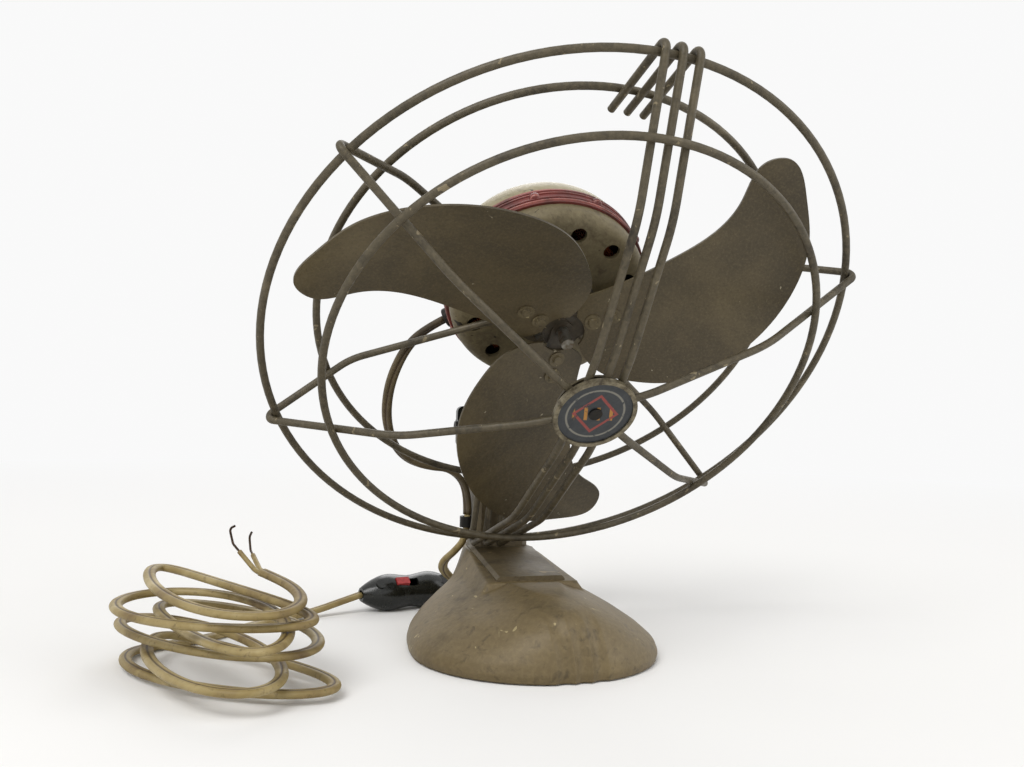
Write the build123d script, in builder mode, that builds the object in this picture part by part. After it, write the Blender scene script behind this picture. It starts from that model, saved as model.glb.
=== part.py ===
from build123d import *
import os
from math import atan2, ceil, cos, degrees, hypot, pi, radians, sin, sqrt

# A ten inch electric desk fan on a teardrop cast foot, its head tilted down on a pivot between the
# cheeks of the neck. Origin: centre of the foot's widest line, on the surface that it stands on.
# +Z is up and the fan blows towards -Y. All lengths are in millimetres, all angles in degrees.

# ---- driving dimensions ---------------------------------------------------------------------
# where the head sits
TILT_DOWN = 40.2            # the fan axis points this far below level at rest
PIVOT_Y = 71.3              # tilt pivot, at the rear of the foot
PIVOT_Z = 110.0
RING_UNDER_PIVOT = 34.4     # the outer ring reaches this far below the pivot, square to the axis
PIVOT_BACK = 52.0           # pivot behind the plane of the outer guard ring

# clearances
FIT_GAP = 0.02              # radial, pieces pushed together
RUN_GAP = 0.04              # radial, running shaft in its bush
SEAT_GAP = 0.05             # between seated faces that aren't fused
PIVOT_GAP = 0.3             # beside the moving stem and the moving knobs

# guard
GUARD_R = 138.0             # centreline of the outer ring
WIRE_D = 3.5
FRONT_RING_R = 113.1
REAR_RING_R = 112.7
LEG_ANGLE = 30.5            # slope of each leg where it leaves the hook over the outer ring
FRONT_BEND_R = 85.0         # the front leg bends towards the badge here
BADGE_BEND_R = 28.0
BADGE_BEND_OUT = 49.3       # how far that second bend stands in front of the outer ring
BADGE_LEG_OUT = 51.0        # centreline of the wire ends under the badge
BADGE_LEG_R = 14.5
BADGE_BEND_RADIUS = 45.0
FRONT_BEND_RADIUS = 60.0
REAR_BEND_RADIUS = 24.0
REAR_LEG_BACK = 26.0        # rear legs lie this far behind the outer ring
REAR_LEG_R = 12.5
SHORT_LEG_R = 101.9         # the doubled wires stop just past the rear ring
SINGLE_STATIONS = {"a": 52.7, "b": 112.1, "c": 288.3, "d": 228.2}
TOP_STATION = -5.3
BOTTOM_STATION = 175.7
TRIPLE_PITCH = 7.6          # spacing of the three parallel wires at the top and at the bottom

# badge
BADGE_R = 17.3
BADGE_BACK_R = 16.2
BADGE_PLATE = 1.6
BADGE_BACK_GAP = 0.35       # the wires slope a little across the back plate
BADGE_RIM_W = 1.3
BADGE_RIM_H = 0.7
BADGE_SCREW_R = 2.0

# motor housing
MOTOR_R = 49.0
SHELL = 2.5
FRONT_BELL_L = 10.0
BAND_L = 12.0
BAND_OUT = 1.2              # band stands out from the bells
BAND_RIB = 0.6
BEAD_R = 2.6
BEAD_COUNT = 10
BEAD_SHIFT = 18.0           # angle of the first bead from the top
REAR_BELL_L = 30.0
DOME_CROWN_R = 32.0
DOME_ROUND = 27.0
DOME_SHOULDER_L = 13.0
BELL_CORNER = 6.0
VENT_R = 4.0
VENT_PITCH_R = 38.5
VENT_COUNT = 12
VENT_SHIFT = -7.0
REAR_VENT_R = 3.5
REAR_VENT_PITCH_R = 31.0
REAR_VENT_COUNT = 8
BOSS_R = 11.0
REAR_BOSS_L = 20.0

# stator, rotor and shaft
STATOR_WALL = 6.0
STATOR_L = 13.5
POLE_COUNT = 4
POLE_W = 14.0
AIR_GAP = 0.5
ROTOR_R = 23.5
COIL_W = 5.0
COIL_R0 = 27.5
COIL_R1 = 38.0
SHAFT_R = 3.0
BUSH_R = 8.0
BUSH_L = 8.0
THRUST_R = 7.0
SHAFT_NOSE = 6.0            # shaft end in front of the outer ring

# blades and hub
BLADE_COUNT = 3
BLADE_ANGLE = 84.9          # reference line of the first blade, seen from the front
BLADE_PITCH = 10.5
BLADE_T = 1.2
BLADE_CAMBER_R = 400.0
BLADE_FLAT = 14.0           # flat strip at the root side before the camber starts
HUB_BACK = 4.0              # blade plane behind the outer ring
HUB_DISC_R = 9.3
HUB_DISC_T = 2.6
HUB_SLEEVE_R = 7.0
HUB_SLEEVE_L = 11.0
BLADE_ROOT_R = 10.2
ARM_W = 11.0
ARM_T = 1.6
RIVET_POINTS = ((13.6, -6.2), (22.2, -10.6))
RIVET_R = 1.3
RIVET_HEAD_R = 2.3
RIVET_HEAD_T = 1.0
WASHER_R = 3.9
WASHER_T = 0.5
SET_SCREW_R = 1.6

# stem and tilt lock
STEM_W = 14.0
STEM_EYE_R = 9.0
STEM_TOP_W = 26.0
STEM_TOP_L = 20.0
BOLT_R = 3.0
BOLT_HEAD_AF = 10.0
BOLT_HEAD_T = 4.0
LOCK_WASHER_R = 6.5
LOCK_WASHER_T = 1.2
WING_HUB_R = 4.6
WING_HUB_L = 8.0
WING_SPAN = 8.2             # centre of each wing's round end from the bolt's axis
WING_TIP_R = 3.3
WING_T = 4.0

# neck
NECK_HALF_W = 15.5
NECK_HALF_D = 10.5
NECK_CHAMFER = 3.5
FOOT_FRONT_Y = 6.4
FOOT_FRONT_Z = 37.0
FOOT_BEND_Y = 57.1
FOOT_TOP_Z = 44.2
FOOT_REAR_Y = 86.0
FOOT_HALF_W = 18.0
FOOT_REAR_HALF_W = 14.5
FOOT_T = 2.4
FOOT_BEVEL = 1.6
NECK_SCREW_R = 2.2
NECK_SCREW_HEAD_R = 4.2
NECK_SCREW_HEAD_T = 2.6
NECK_SCREW_PITCH = 12.0

# cast foot: height, half width, nose, widest line and tail of each level
FELT_T = 1.8
RIM_Z = 0.8
BASE_LEVELS = (
    (RIM_Z, 60.8, 59.2, 0.0, 91.0),
    (4.0, 61.8, 60.0, 0.0, 92.0),
    (9.0, 60.0, 59.6, 2.0, 91.6),
    (15.0, 53.6, 58.6, 8.0, 90.8),
    (21.5, 44.0, 56.6, 16.0, 89.6),
    (27.5, 33.0, 52.5, 26.0, 88.2),
    (31.5, 24.0, 46.5, 34.0, 87.0),
    (33.0, 18.0, 40.0, 40.0, 86.4),
)
BASE_WALL = 4.0
PLINTH_BOTTOM_Z = 15.0
PLINTH_SPREAD = 24.0        # the plinth's flanks widen this much down to the foot
FLUTE_COUNT = 3
FLUTE_PITCH = 8.5
FLUTE_X = 5.0               # middle of the flutes; the casting has them a little to the right
FLUTE_R = 4.2
FLUTE_DEPTHS = (1.6, 1.8, 1.8, 1.5, 0.7, -0.6)   # at the foot's levels from the second up
PLATE_T = 1.2
PLATE_INSET = 6.0
PLATE_SCREW_R = 2.0
PLATE_SCREW_HEAD_R = 3.8
PLATE_SCREW_HEAD_T = 1.4
PLATE_POST_R = 5.0
PLATE_SCREW_PLACES = ((-34.0, -12.0), (34.0, -12.0), (0.0, 66.0))
FELT_INSET = 7.5

# flex, its clip, gland and switch
FLEX_D = 5.0
GLAND_ANGLE = 127.0
GLAND_BACK = 55.5
GLAND_R = 5.2
GLAND_L = 6.0
OILER_ANGLE = 99.0
OILER_R = 3.4
OILER_L = 4.6
CLIP_Y = 69.0
CLIP_Z = 57.0
CLIP_H = 6.0
CLIP_WALL = 1.6
CLIP_TAB = 6.0
CLIP_SCREW_R = 1.5
CLIP_SCREW_HEAD_R = 2.3
SWITCH_AT = (-42.0, 114.0)
SWITCH_TURN = 15.0
SWITCH_ROLL = 45.0
SWITCH_L = 60.0
SWITCH_R = 10.6
SWITCH_SADDLE_R = 9.2
SWITCH_MOUTH_R = 4.0
SWITCH_LOBE = 15.0          # fattest places, from the middle
SWITCH_WALL = 2.0
SLOT_L = 15.0
SLOT_W = 5.0
SLIDE_L = 8.0
SLIDE_TRAVEL = 6.0
SLIDE_OUT = 2.2
SLIDE_FLANGE_L = 13.0
SLIDE_FLANGE_W = 8.0
SLIDE_FLANGE_T = 1.2
TERMINAL_SIZE = (5.0, 3.6, 3.0)
TERMINAL_PLACE = 12.0
TERMINAL_FLOOR = -7.0
SWITCH_SCREW_R = 1.4
SWITCH_SCREW_PLACE = 20.0

# clamp plate that holds the wires to the motor
CLAMP_R = 21.0
CLAMP_T = 1.6
CLAMP_BORE_R = 5.0
CLAMP_SCREW_R = 2.0
CLAMP_SCREW_HEAD_R = 3.6
CLAMP_SCREW_HEAD_T = 1.8
CLAMP_SCREW_PLACE = 15.0
CLAMP_SCREW_ANGLE = 80.0    # turned away from the legs' stations
BADGE_RIVET_HEAD_R = 3.0

# inside the motor
COIL_GAP = 0.3
ROTOR_VENT_R = 2.6
ROTOR_VENT_PLACE = 13.0
ROTOR_VENT_COUNT = 6

# neck and foot fastenings
CHEEK_TOP_R = 10.0
NECK_SCREW_DEPTH = 14.0
POST_TOPS = (17.0, 17.0, 30.0)

# loose hank of the flex and its bare end
HANK_TURNS = 5.75
HANK_X = -152.0
HANK_Y = -18.0
HANK_HALF_L = 58.0
HANK_HALF_W = 24.0
HANK_RISE = 6.5             # per turn
HANK_FAN = 6.0              # the far end lifts this much more in the last turns
HANK_HEADING = 120.0
HANK_VARY_L = 4.0           # loose turns differ in length, width, heading and place
HANK_VARY_W = 4.5
HANK_VARY_HEADING = 9.0
HANK_DRIFT = 3.0
CORE_D = 2.3
CORE_OFFSET = 1.25
CORE_LENGTHS = (17.0, 13.0)
CORE_SPREADS = (4.2, 3.2)
CORE_RISES = (4.0, 7.5)
CONDUCTOR_D = 1.1

# place of the switch's slot, from its middle
SLOT_X = -4.0

# ---- frames worked out from them ------------------------------------------------------------
STEM_DROP = GUARD_R - RING_UNDER_PIVOT
FORWARD = Vector(0, -cos(radians(TILT_DOWN)), -sin(radians(TILT_DOWN)))
HEAD_UP = Vector(0, -sin(radians(TILT_DOWN)), cos(radians(TILT_DOWN)))
SIDE = Vector(1, 0, 0)
PIVOT = Vector(0, PIVOT_Y, PIVOT_Z)
HEAD_ORIGIN = PIVOT + HEAD_UP * STEM_DROP + FORWARD * PIVOT_BACK
HEAD = Plane(origin=HEAD_ORIGIN, x_dir=SIDE, z_dir=FORWARD)
FAN_AXIS = Axis(HEAD_ORIGIN, FORWARD)

HOOK_R = WIRE_D + SEAT_GAP
MOTOR_FACE = -(REAR_LEG_BACK + WIRE_D / 2 + SEAT_GAP)
BAND_FRONT = MOTOR_FACE - FRONT_BELL_L
BAND_REAR = BAND_FRONT - BAND_L
DOME_SHOULDER = BAND_REAR - DOME_SHOULDER_L
DOME_REAR = BAND_REAR - REAR_BELL_L
CLAMP_FACE = -(REAR_LEG_BACK - WIRE_D / 2 - SEAT_GAP)
SHELL_R = MOTOR_R - SHELL
STATOR_R = SHELL_R - FIT_GAP
STATOR_MID = (BAND_FRONT + BAND_REAR) / 2 - 1.0
BADGE_BACK_FACE = BADGE_LEG_OUT - WIRE_D / 2 - BADGE_BACK_GAP
BADGE_FRONT_FACE = BADGE_LEG_OUT + WIRE_D / 2 + SEAT_GAP


def station_dir(angle):
    """Radial direction of a station, counted anticlockwise from head-up, seen from the front."""
    return HEAD_UP * cos(radians(angle)) - SIDE * sin(radians(angle))


def station_plane(angle, offset=0.0):
    """Plane through the fan axis whose x runs outwards and y forwards, moved sideways by offset."""
    outwards = station_dir(angle)
    sideways = outwards.cross(FORWARD)
    return Plane(origin=HEAD_ORIGIN + sideways * offset, x_dir=outwards, z_dir=sideways)


PROFILE = station_plane(90.0)


def save(part, label):
    """Names a finished piece and writes it."""
    part.label = label
    export_step(part, f"parts/{label}.step")


os.makedirs("parts", exist_ok=True)


# ---- guard ----------------------------------------------------------------------------------
def hook_corner(offset):
    """Corner of the two legs, so that the bend there hugs the outer ring."""
    ring_at = sqrt(GUARD_R**2 - offset**2)
    return ring_at + HOOK_R / sin(radians(LEG_ANGLE))


def leg_out(corner, reach):
    """How far a straight leg stands off the outer ring's plane at a radius."""
    return (corner - reach) * sin(radians(LEG_ANGLE)) / cos(radians(LEG_ANGLE))


def ring_out(ring_r):
    """Plane of a ring that lies against the outside of the legs."""
    return leg_out(hook_corner(0), ring_r) + HOOK_R / cos(radians(LEG_ANGLE))


def guard_wire(angle, offset=0.0, doubled=False):
    """One wire from under the badge, round the outer ring, and back over the rear ring."""
    corner = hook_corner(offset)
    points = [
        (sqrt(BADGE_LEG_R**2 - offset**2), BADGE_LEG_OUT),
        (BADGE_BEND_R, BADGE_BEND_OUT),
        (FRONT_BEND_R, leg_out(corner, FRONT_BEND_R)),
        (corner, 0.0),
    ]
    radii = [BADGE_BEND_RADIUS, FRONT_BEND_RADIUS, HOOK_R]
    if doubled:
        points.append((SHORT_LEG_R, -leg_out(corner, SHORT_LEG_R)))
    else:
        bend_at = corner - REAR_LEG_BACK / sin(radians(LEG_ANGLE)) * cos(radians(LEG_ANGLE))
        points.append((bend_at, -REAR_LEG_BACK))
        points.append((REAR_LEG_R, -REAR_LEG_BACK))
        radii.append(REAR_BEND_RADIUS)
    with BuildPart() as wire:
        with BuildLine(station_plane(angle, offset)) as path:
            FilletPolyline(*points, radius=radii)
        with BuildSketch(Plane(origin=path.wire() @ 0, z_dir=path.wire() % 0)):
            Circle(WIRE_D / 2)
        sweep(path=path.wire())
    return wire.part


def guard_ring(ring_r, out):
    """A closed ring of the guard's wire."""
    with BuildPart() as ring:
        with BuildSketch(PROFILE):
            with Locations((ring_r, out)):
                Circle(WIRE_D / 2)
        revolve(axis=FAN_AXIS)
    return ring.part


save(guard_ring(GUARD_R, 0.0), "guard_outer_ring")
save(guard_ring(FRONT_RING_R, ring_out(FRONT_RING_R)), "guard_front_ring")
save(guard_ring(REAR_RING_R, -ring_out(REAR_RING_R)), "guard_rear_ring")
for name, angle in SINGLE_STATIONS.items():
    save(guard_wire(angle), f"guard_wire_{name}")
for name, angle in (("top", TOP_STATION), ("bottom", BOTTOM_STATION)):
    wires = [guard_wire(angle, k * TRIPLE_PITCH, doubled=True) for k in (-1, 0, 1)]
    save(Compound(children=wires), f"guard_triple_{name}")

# plate that clamps the rear legs to the motor's face, with its two screws
with BuildPart() as guard_clamp:
    with BuildSketch(HEAD.offset(CLAMP_FACE)):
        Circle(CLAMP_R)
        Circle(CLAMP_BORE_R, mode=Mode.SUBTRACT)
        with PolarLocations(CLAMP_SCREW_PLACE, 2, start_angle=CLAMP_SCREW_ANGLE):
            Circle(CLAMP_SCREW_R + FIT_GAP, mode=Mode.SUBTRACT)
    extrude(amount=CLAMP_T)
save(guard_clamp.part, "guard_clamp_plate")

with BuildPart() as clamp_screws:
    with BuildSketch(HEAD.offset(CLAMP_FACE + CLAMP_T)):
        with PolarLocations(CLAMP_SCREW_PLACE, 2, start_angle=CLAMP_SCREW_ANGLE):
            Circle(CLAMP_SCREW_HEAD_R)
    extrude(amount=CLAMP_SCREW_HEAD_T)
    with BuildSketch(HEAD.offset(CLAMP_FACE + CLAMP_T)):
        with PolarLocations(CLAMP_SCREW_PLACE, 2, start_angle=CLAMP_SCREW_ANGLE):
            Circle(CLAMP_SCREW_R)
    extrude(amount=-(CLAMP_T + CLAMP_FACE - MOTOR_FACE + SHELL))
save(clamp_screws.part, "guard_clamp_screws")

# ---- badge ----------------------------------------------------------------------------------
with BuildPart() as badge_back:
    with BuildSketch(HEAD.offset(BADGE_BACK_FACE)):
        Circle(BADGE_BACK_R)
        Circle(BADGE_SCREW_R + FIT_GAP, mode=Mode.SUBTRACT)
    extrude(amount=-BADGE_PLATE)
    fillet(badge_back.faces().sort_by(FAN_AXIS)[0].outer_wire().edges(), BADGE_PLATE / 2)
save(badge_back.part, "badge_back_plate")

with BuildPart() as badge_face:
    with BuildSketch(HEAD.offset(BADGE_FRONT_FACE)):
        Circle(BADGE_R)
        Circle(BADGE_SCREW_R + FIT_GAP, mode=Mode.SUBTRACT)
    extrude(amount=BADGE_PLATE)
save(badge_face.part, "badge_face")

with BuildPart() as badge_rim:
    with BuildSketch(PROFILE):
        with BuildLine():
            Polyline(
                (BADGE_R + SEAT_GAP, BADGE_FRONT_FACE),
                (BADGE_R + BADGE_RIM_W, BADGE_FRONT_FACE),
                (BADGE_R + BADGE_RIM_W, BADGE_FRONT_FACE + BADGE_PLATE + BADGE_RIM_H),
                (BADGE_R - BADGE_RIM_W / 2, BADGE_FRONT_FACE + BADGE_PLATE + BADGE_RIM_H),
                (BADGE_R - BADGE_RIM_W / 2, BADGE_FRONT_FACE + BADGE_PLATE + SEAT_GAP),
                (BADGE_R + SEAT_GAP, BADGE_FRONT_FACE + BADGE_PLATE + SEAT_GAP),
                close=True,
            )
        make_face()
    revolve(axis=FAN_AXIS)
save(badge_rim.part, "badge_rim")

with BuildPart() as badge_rivet:
    with BuildSketch(HEAD.offset(BADGE_FRONT_FACE + BADGE_PLATE)):
        Circle(BADGE_RIVET_HEAD_R)
    extrude(amount=BADGE_RIM_H)
    with BuildSketch(HEAD.offset(BADGE_BACK_FACE - BADGE_PLATE)):
        Circle(BADGE_SCREW_R)
    extrude(amount=BADGE_FRONT_FACE - BADGE_BACK_FACE + 2 * BADGE_PLATE)
    with BuildSketch(HEAD.offset(BADGE_BACK_FACE - BADGE_PLATE)):
        Circle(BADGE_RIVET_HEAD_R)
    extrude(amount=-BADGE_RIM_H)
save(badge_rivet.part, "badge_rivet")

# ---- motor housing --------------------------------------------------------------------------
BUSH_FRONT = MOTOR_FACE - 0.8
FRONT_BOSS_END = BUSH_FRONT - BUSH_L
with BuildPart() as front_bell:
    with BuildSketch(PROFILE):
        with BuildLine():
            Polyline(
                (CLAMP_BORE_R, MOTOR_FACE),
                (MOTOR_R, MOTOR_FACE),
                (MOTOR_R, BAND_FRONT),
                (SHELL_R, BAND_FRONT),
                (SHELL_R, MOTOR_FACE - SHELL),
                (BOSS_R, MOTOR_FACE - SHELL),
                (BOSS_R, FRONT_BOSS_END),
                (BUSH_R + FIT_GAP, FRONT_BOSS_END),
                (BUSH_R + FIT_GAP, BUSH_FRONT + FIT_GAP),
                (CLAMP_BORE_R, BUSH_FRONT + FIT_GAP),
                close=True,
            )
        make_face()
    revolve(axis=FAN_AXIS)
    outer_edges = [e for e in front_bell.faces().sort_by(FAN_AXIS)[-1].edges() if e.radius > BOSS_R]
    fillet(outer_edges, BELL_CORNER)
    with BuildSketch(HEAD.offset(MOTOR_FACE + 1)):
        with PolarLocations(VENT_PITCH_R, VENT_COUNT, start_angle=VENT_SHIFT):
            Circle(VENT_R)
        with PolarLocations(CLAMP_SCREW_PLACE, 2, start_angle=CLAMP_SCREW_ANGLE):
            Circle(CLAMP_SCREW_R + FIT_GAP)
    extrude(amount=-(SHELL + 3), mode=Mode.SUBTRACT)
save(front_bell.part, "motor_front_bell")

with BuildPart() as band:
    with BuildSketch(PROFILE):
        with BuildLine():
            Polyline(
                (SHELL_R, BAND_FRONT - SEAT_GAP),
                (MOTOR_R + BAND_OUT, BAND_FRONT - SEAT_GAP),
                (MOTOR_R + BAND_OUT, BAND_REAR + SEAT_GAP),
                (SHELL_R, BAND_REAR + SEAT_GAP),
                close=True,
            )
        make_face()
        for k in (1, 2, 4, 5):
            with Locations((MOTOR_R + BAND_OUT, BAND_FRONT - k * BAND_L / 6)):
                Circle(BAND_RIB)
    revolve(axis=FAN_AXIS)
    for k in range(BEAD_COUNT):
        bead_at = HEAD_ORIGIN + FORWARD * (BAND_FRONT - BAND_L / 2)
        bead_at = bead_at + station_dir(BEAD_SHIFT + k * 360 / BEAD_COUNT) * (MOTOR_R + BAND_OUT - 0.5)
        with Locations(bead_at):
            Sphere(BEAD_R)
    with BuildSketch(HEAD.offset(BAND_FRONT + 1)):
        Circle(SHELL_R)
    extrude(amount=-(BAND_L + 2), mode=Mode.SUBTRACT)
save(band.part, "motor_band")

REAR_BOSS_FRONT = DOME_REAR + SHELL + REAR_BOSS_L


def dome_outline(inset):
    """Half outline of the rounded rear bell, moved inwards by inset."""
    rim_r = MOTOR_R - inset
    rear = DOME_REAR + inset
    Line((0, BAND_REAR), (rim_r, BAND_REAR))
    FilletPolyline(
        (rim_r, BAND_REAR),
        (rim_r, DOME_SHOULDER),
        (DOME_CROWN_R - inset / 2, rear),
        (0, rear),
        radius=[DOME_ROUND - inset, DOME_ROUND - inset],
    )
    Line((0, rear), (0, BAND_REAR))


with BuildPart() as rear_bell:
    with BuildSketch(PROFILE):
        with BuildLine():
            dome_outline(0)
        make_face()
    revolve(axis=FAN_AXIS)
    with BuildSketch(PROFILE):
        with BuildLine():
            dome_outline(SHELL)
        make_face()
    revolve(axis=FAN_AXIS, mode=Mode.SUBTRACT)
    with BuildSketch(HEAD.offset(DOME_REAR + SHELL / 2)):
        Circle(BOSS_R)
    extrude(amount=REAR_BOSS_L + SHELL / 2)
    with BuildSketch(HEAD.offset(REAR_BOSS_FRONT)):
        Circle(BUSH_R + FIT_GAP)
    extrude(amount=-BUSH_L, mode=Mode.SUBTRACT)
    with BuildSketch(HEAD.offset(REAR_BOSS_FRONT)):
        Circle(SHAFT_R + 1)
    extrude(amount=-(BUSH_L + 3), mode=Mode.SUBTRACT)
    with BuildSketch(HEAD.offset(DOME_REAR - 1)):
        with PolarLocations(REAR_VENT_PITCH_R, REAR_VENT_COUNT):
            Circle(REAR_VENT_R)
    extrude(amount=REAR_BELL_L / 2 + SHELL, mode=Mode.SUBTRACT)
save(rear_bell.part, "motor_rear_bell")

# laminated stator with four poles, and a coil round each
STATOR_FRONT = STATOR_MID + STATOR_L / 2
with BuildPart() as stator:
    with BuildSketch(HEAD.offset(STATOR_FRONT)):
        Circle(STATOR_R)
        Circle(STATOR_R - STATOR_WALL, mode=Mode.SUBTRACT)
        with PolarLocations((ROTOR_R + STATOR_R - 1) / 2, POLE_COUNT, start_angle=45):
            Rectangle(STATOR_R - 1 - ROTOR_R, POLE_W)
        Circle(ROTOR_R + AIR_GAP, mode=Mode.SUBTRACT)
    extrude(amount=-STATOR_L)
save(stator.part, "stator_core")

coils = []
for k in range(POLE_COUNT):
    coil_plane = Plane(
        origin=HEAD_ORIGIN + FORWARD * STATOR_MID,
        x_dir=FORWARD,
        z_dir=station_dir(45 + k * 360 / POLE_COUNT),
    )
    with BuildPart() as coil:
        with BuildSketch(coil_plane.offset(COIL_R0)):
            RectangleRounded(STATOR_L + 2 * COIL_W, POLE_W + 2 * COIL_W, COIL_W - 1)
            Rectangle(STATOR_L + 2 * COIL_GAP, POLE_W + 2 * COIL_GAP, mode=Mode.SUBTRACT)
        extrude(amount=COIL_R1 - COIL_R0)
    coils.append(coil.part)
save(Compound(children=coils), "stator_coils")


def turned(parts):
    """One solid of revolution about the fan axis, from (radius, front, back) steps."""
    with BuildPart() as lathe:
        for outer_r, front, back in parts:
            with BuildSketch(HEAD.offset(front)):
                Circle(outer_r)
            extrude(amount=back - front)
    return lathe.part


def bored(outer_r, inner_r, front, back):
    """A plain ring about the fan axis."""
    with BuildPart() as ring:
        with BuildSketch(HEAD.offset(front)):
            Circle(outer_r)
            Circle(inner_r, mode=Mode.SUBTRACT)
        extrude(amount=back - front)
    return ring.part


save(bored(BUSH_R, SHAFT_R + RUN_GAP, BUSH_FRONT, BUSH_FRONT - BUSH_L), "front_bush")
save(bored(BUSH_R, SHAFT_R + RUN_GAP, REAR_BOSS_FRONT, REAR_BOSS_FRONT - BUSH_L + FIT_GAP), "rear_bush")

ROTOR_FRONT = STATOR_MID + STATOR_L / 2
ROTOR_BACK = STATOR_MID - STATOR_L / 2
with BuildPart() as rotor:
    with BuildSketch(HEAD.offset(ROTOR_FRONT)):
        Circle(ROTOR_R)
        Circle(SHAFT_R + FIT_GAP, mode=Mode.SUBTRACT)
        with PolarLocations(ROTOR_VENT_PLACE, ROTOR_VENT_COUNT):
            Circle(ROTOR_VENT_R, mode=Mode.SUBTRACT)
    extrude(amount=-STATOR_L)
save(rotor.part, "rotor_core")

SHAFT_BACK = REAR_BOSS_FRONT - BUSH_L - 2.0
save(turned([(SHAFT_R, SHAFT_NOSE, SHAFT_BACK)]), "fan_shaft")

thrust = [
    bored(THRUST_R, SHAFT_R + FIT_GAP, FRONT_BOSS_END - PIVOT_GAP, ROTOR_FRONT + SEAT_GAP),
    bored(THRUST_R, SHAFT_R + FIT_GAP, ROTOR_BACK - SEAT_GAP, REAR_BOSS_FRONT + PIVOT_GAP),
]
save(Compound(children=thrust), "thrust_collars")

# ---- blades and hub -------------------------------------------------------------------------
def blade_plane(index):
    """Plane of a blade's flat root: x runs outwards, y across the pitched blade, z forwards."""
    outwards = station_dir(BLADE_ANGLE + index * 360 / BLADE_COUNT)
    tangent = FORWARD.cross(outwards)
    across = tangent * cos(radians(BLADE_PITCH)) - FORWARD * sin(radians(BLADE_PITCH))
    origin = HEAD_ORIGIN - FORWARD * HUB_BACK
    return Plane(origin=origin, x_dir=outwards, z_dir=outwards.cross(across))


def make_blade(index):
    """One pressed blade: a cambered strip cut to the outline, with its two rivet holes."""
    plane = blade_plane(index)
    section = Plane(origin=plane.origin, x_dir=plane.y_dir, z_dir=plane.x_dir)
    half = BLADE_T / 2
    reach = 75.0
    camber_angle = degrees((reach - BLADE_FLAT) / BLADE_CAMBER_R)
    with BuildPart() as blade:
        with BuildSketch(section.offset(-20)):
            with BuildLine():
                flat = Line((20, 0), (-BLADE_FLAT, 0))
                JernArc(flat @ 1, flat % 1, BLADE_CAMBER_R, -camber_angle)
                offset(amount=half, side=Side.BOTH)
            make_face()
        extrude(amount=GUARD_R + 20)
        with BuildSketch(plane.offset(-reach / 2)):
            with BuildLine():
                Spline(
                    (22, 5.5),
                    (60, -8),
                    (100, -8.5),
                    (118, -2),
                    (126.2, -8),
                    (121.5, -27.5),
                    (108, -48),
                    (80, -64.5),
                    (48, -68),
                    (19, -58.5),
                    (5, -44),
                    (-2.5, -29),
                    (-1, -14),
                    (8, -1),
                    periodic=True,
                )
            make_face()
        extrude(amount=reach, mode=Mode.INTERSECT)
        with BuildSketch(HEAD.offset(-reach / 2)):
            Circle(BLADE_ROOT_R)
        extrude(amount=reach, mode=Mode.SUBTRACT)
        with BuildSketch(plane.offset(-BLADE_T)):
            with Locations(*RIVET_POINTS):
                Circle(RIVET_R + FIT_GAP)
        extrude(amount=2 * BLADE_T, mode=Mode.SUBTRACT)
    return blade.part


for index in range(BLADE_COUNT):
    save(make_blade(index), f"fan_blade_{index + 1}")

arm_angle = degrees(atan2(RIVET_POINTS[1][1], RIVET_POINTS[1][0]))
arm_reach = hypot(*RIVET_POINTS[1])
ARM_BACK = BLADE_T / 2 + SEAT_GAP
SLEEVE_FRONT = -HUB_BACK - ARM_BACK
with BuildPart() as hub:
    with BuildSketch(HEAD.offset(SLEEVE_FRONT)):
        Circle(HUB_DISC_R)
    extrude(amount=-HUB_DISC_T)
    with BuildSketch(HEAD.offset(SLEEVE_FRONT)):
        Circle(HUB_SLEEVE_R)
    extrude(amount=-HUB_SLEEVE_L)
    for index in range(BLADE_COUNT):
        with BuildSketch(blade_plane(index).offset(-ARM_BACK)):
            with Locations(Rotation(0, 0, arm_angle)):
                with Locations((arm_reach / 2, 0)):
                    SlotCenterToCenter(arm_reach, ARM_W)
        extrude(amount=-ARM_T)
    for index in range(BLADE_COUNT):
        with BuildSketch(blade_plane(index).offset(0)):
            with Locations(*RIVET_POINTS):
                Circle(RIVET_R + FIT_GAP)
        extrude(amount=-(ARM_BACK + ARM_T + 1), mode=Mode.SUBTRACT)
    with BuildSketch(HEAD.offset(1)):
        Circle(SHAFT_R + FIT_GAP)
    extrude(amount=-(HUB_SLEEVE_L + HUB_BACK + ARM_T + 4), mode=Mode.SUBTRACT)
    screw_at = HEAD_ORIGIN + FORWARD * (SLEEVE_FRONT - HUB_SLEEVE_L + 3.5)
    with BuildSketch(Plane(origin=screw_at, x_dir=FORWARD, z_dir=station_dir(0))):
        Circle(SET_SCREW_R + FIT_GAP)
    extrude(amount=HUB_SLEEVE_R + 1, mode=Mode.SUBTRACT)
save(hub.part, "hub_spider")

with BuildPart() as set_screw:
    with BuildSketch(Plane(origin=screw_at, x_dir=FORWARD, z_dir=station_dir(0)).offset(SHAFT_R + SEAT_GAP)):
        Circle(SET_SCREW_R)
        RegularPolygon(0.8, 6, mode=Mode.SUBTRACT)
    extrude(amount=HUB_SLEEVE_R - SHAFT_R)
save(set_screw.part, "hub_set_screw")

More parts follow.
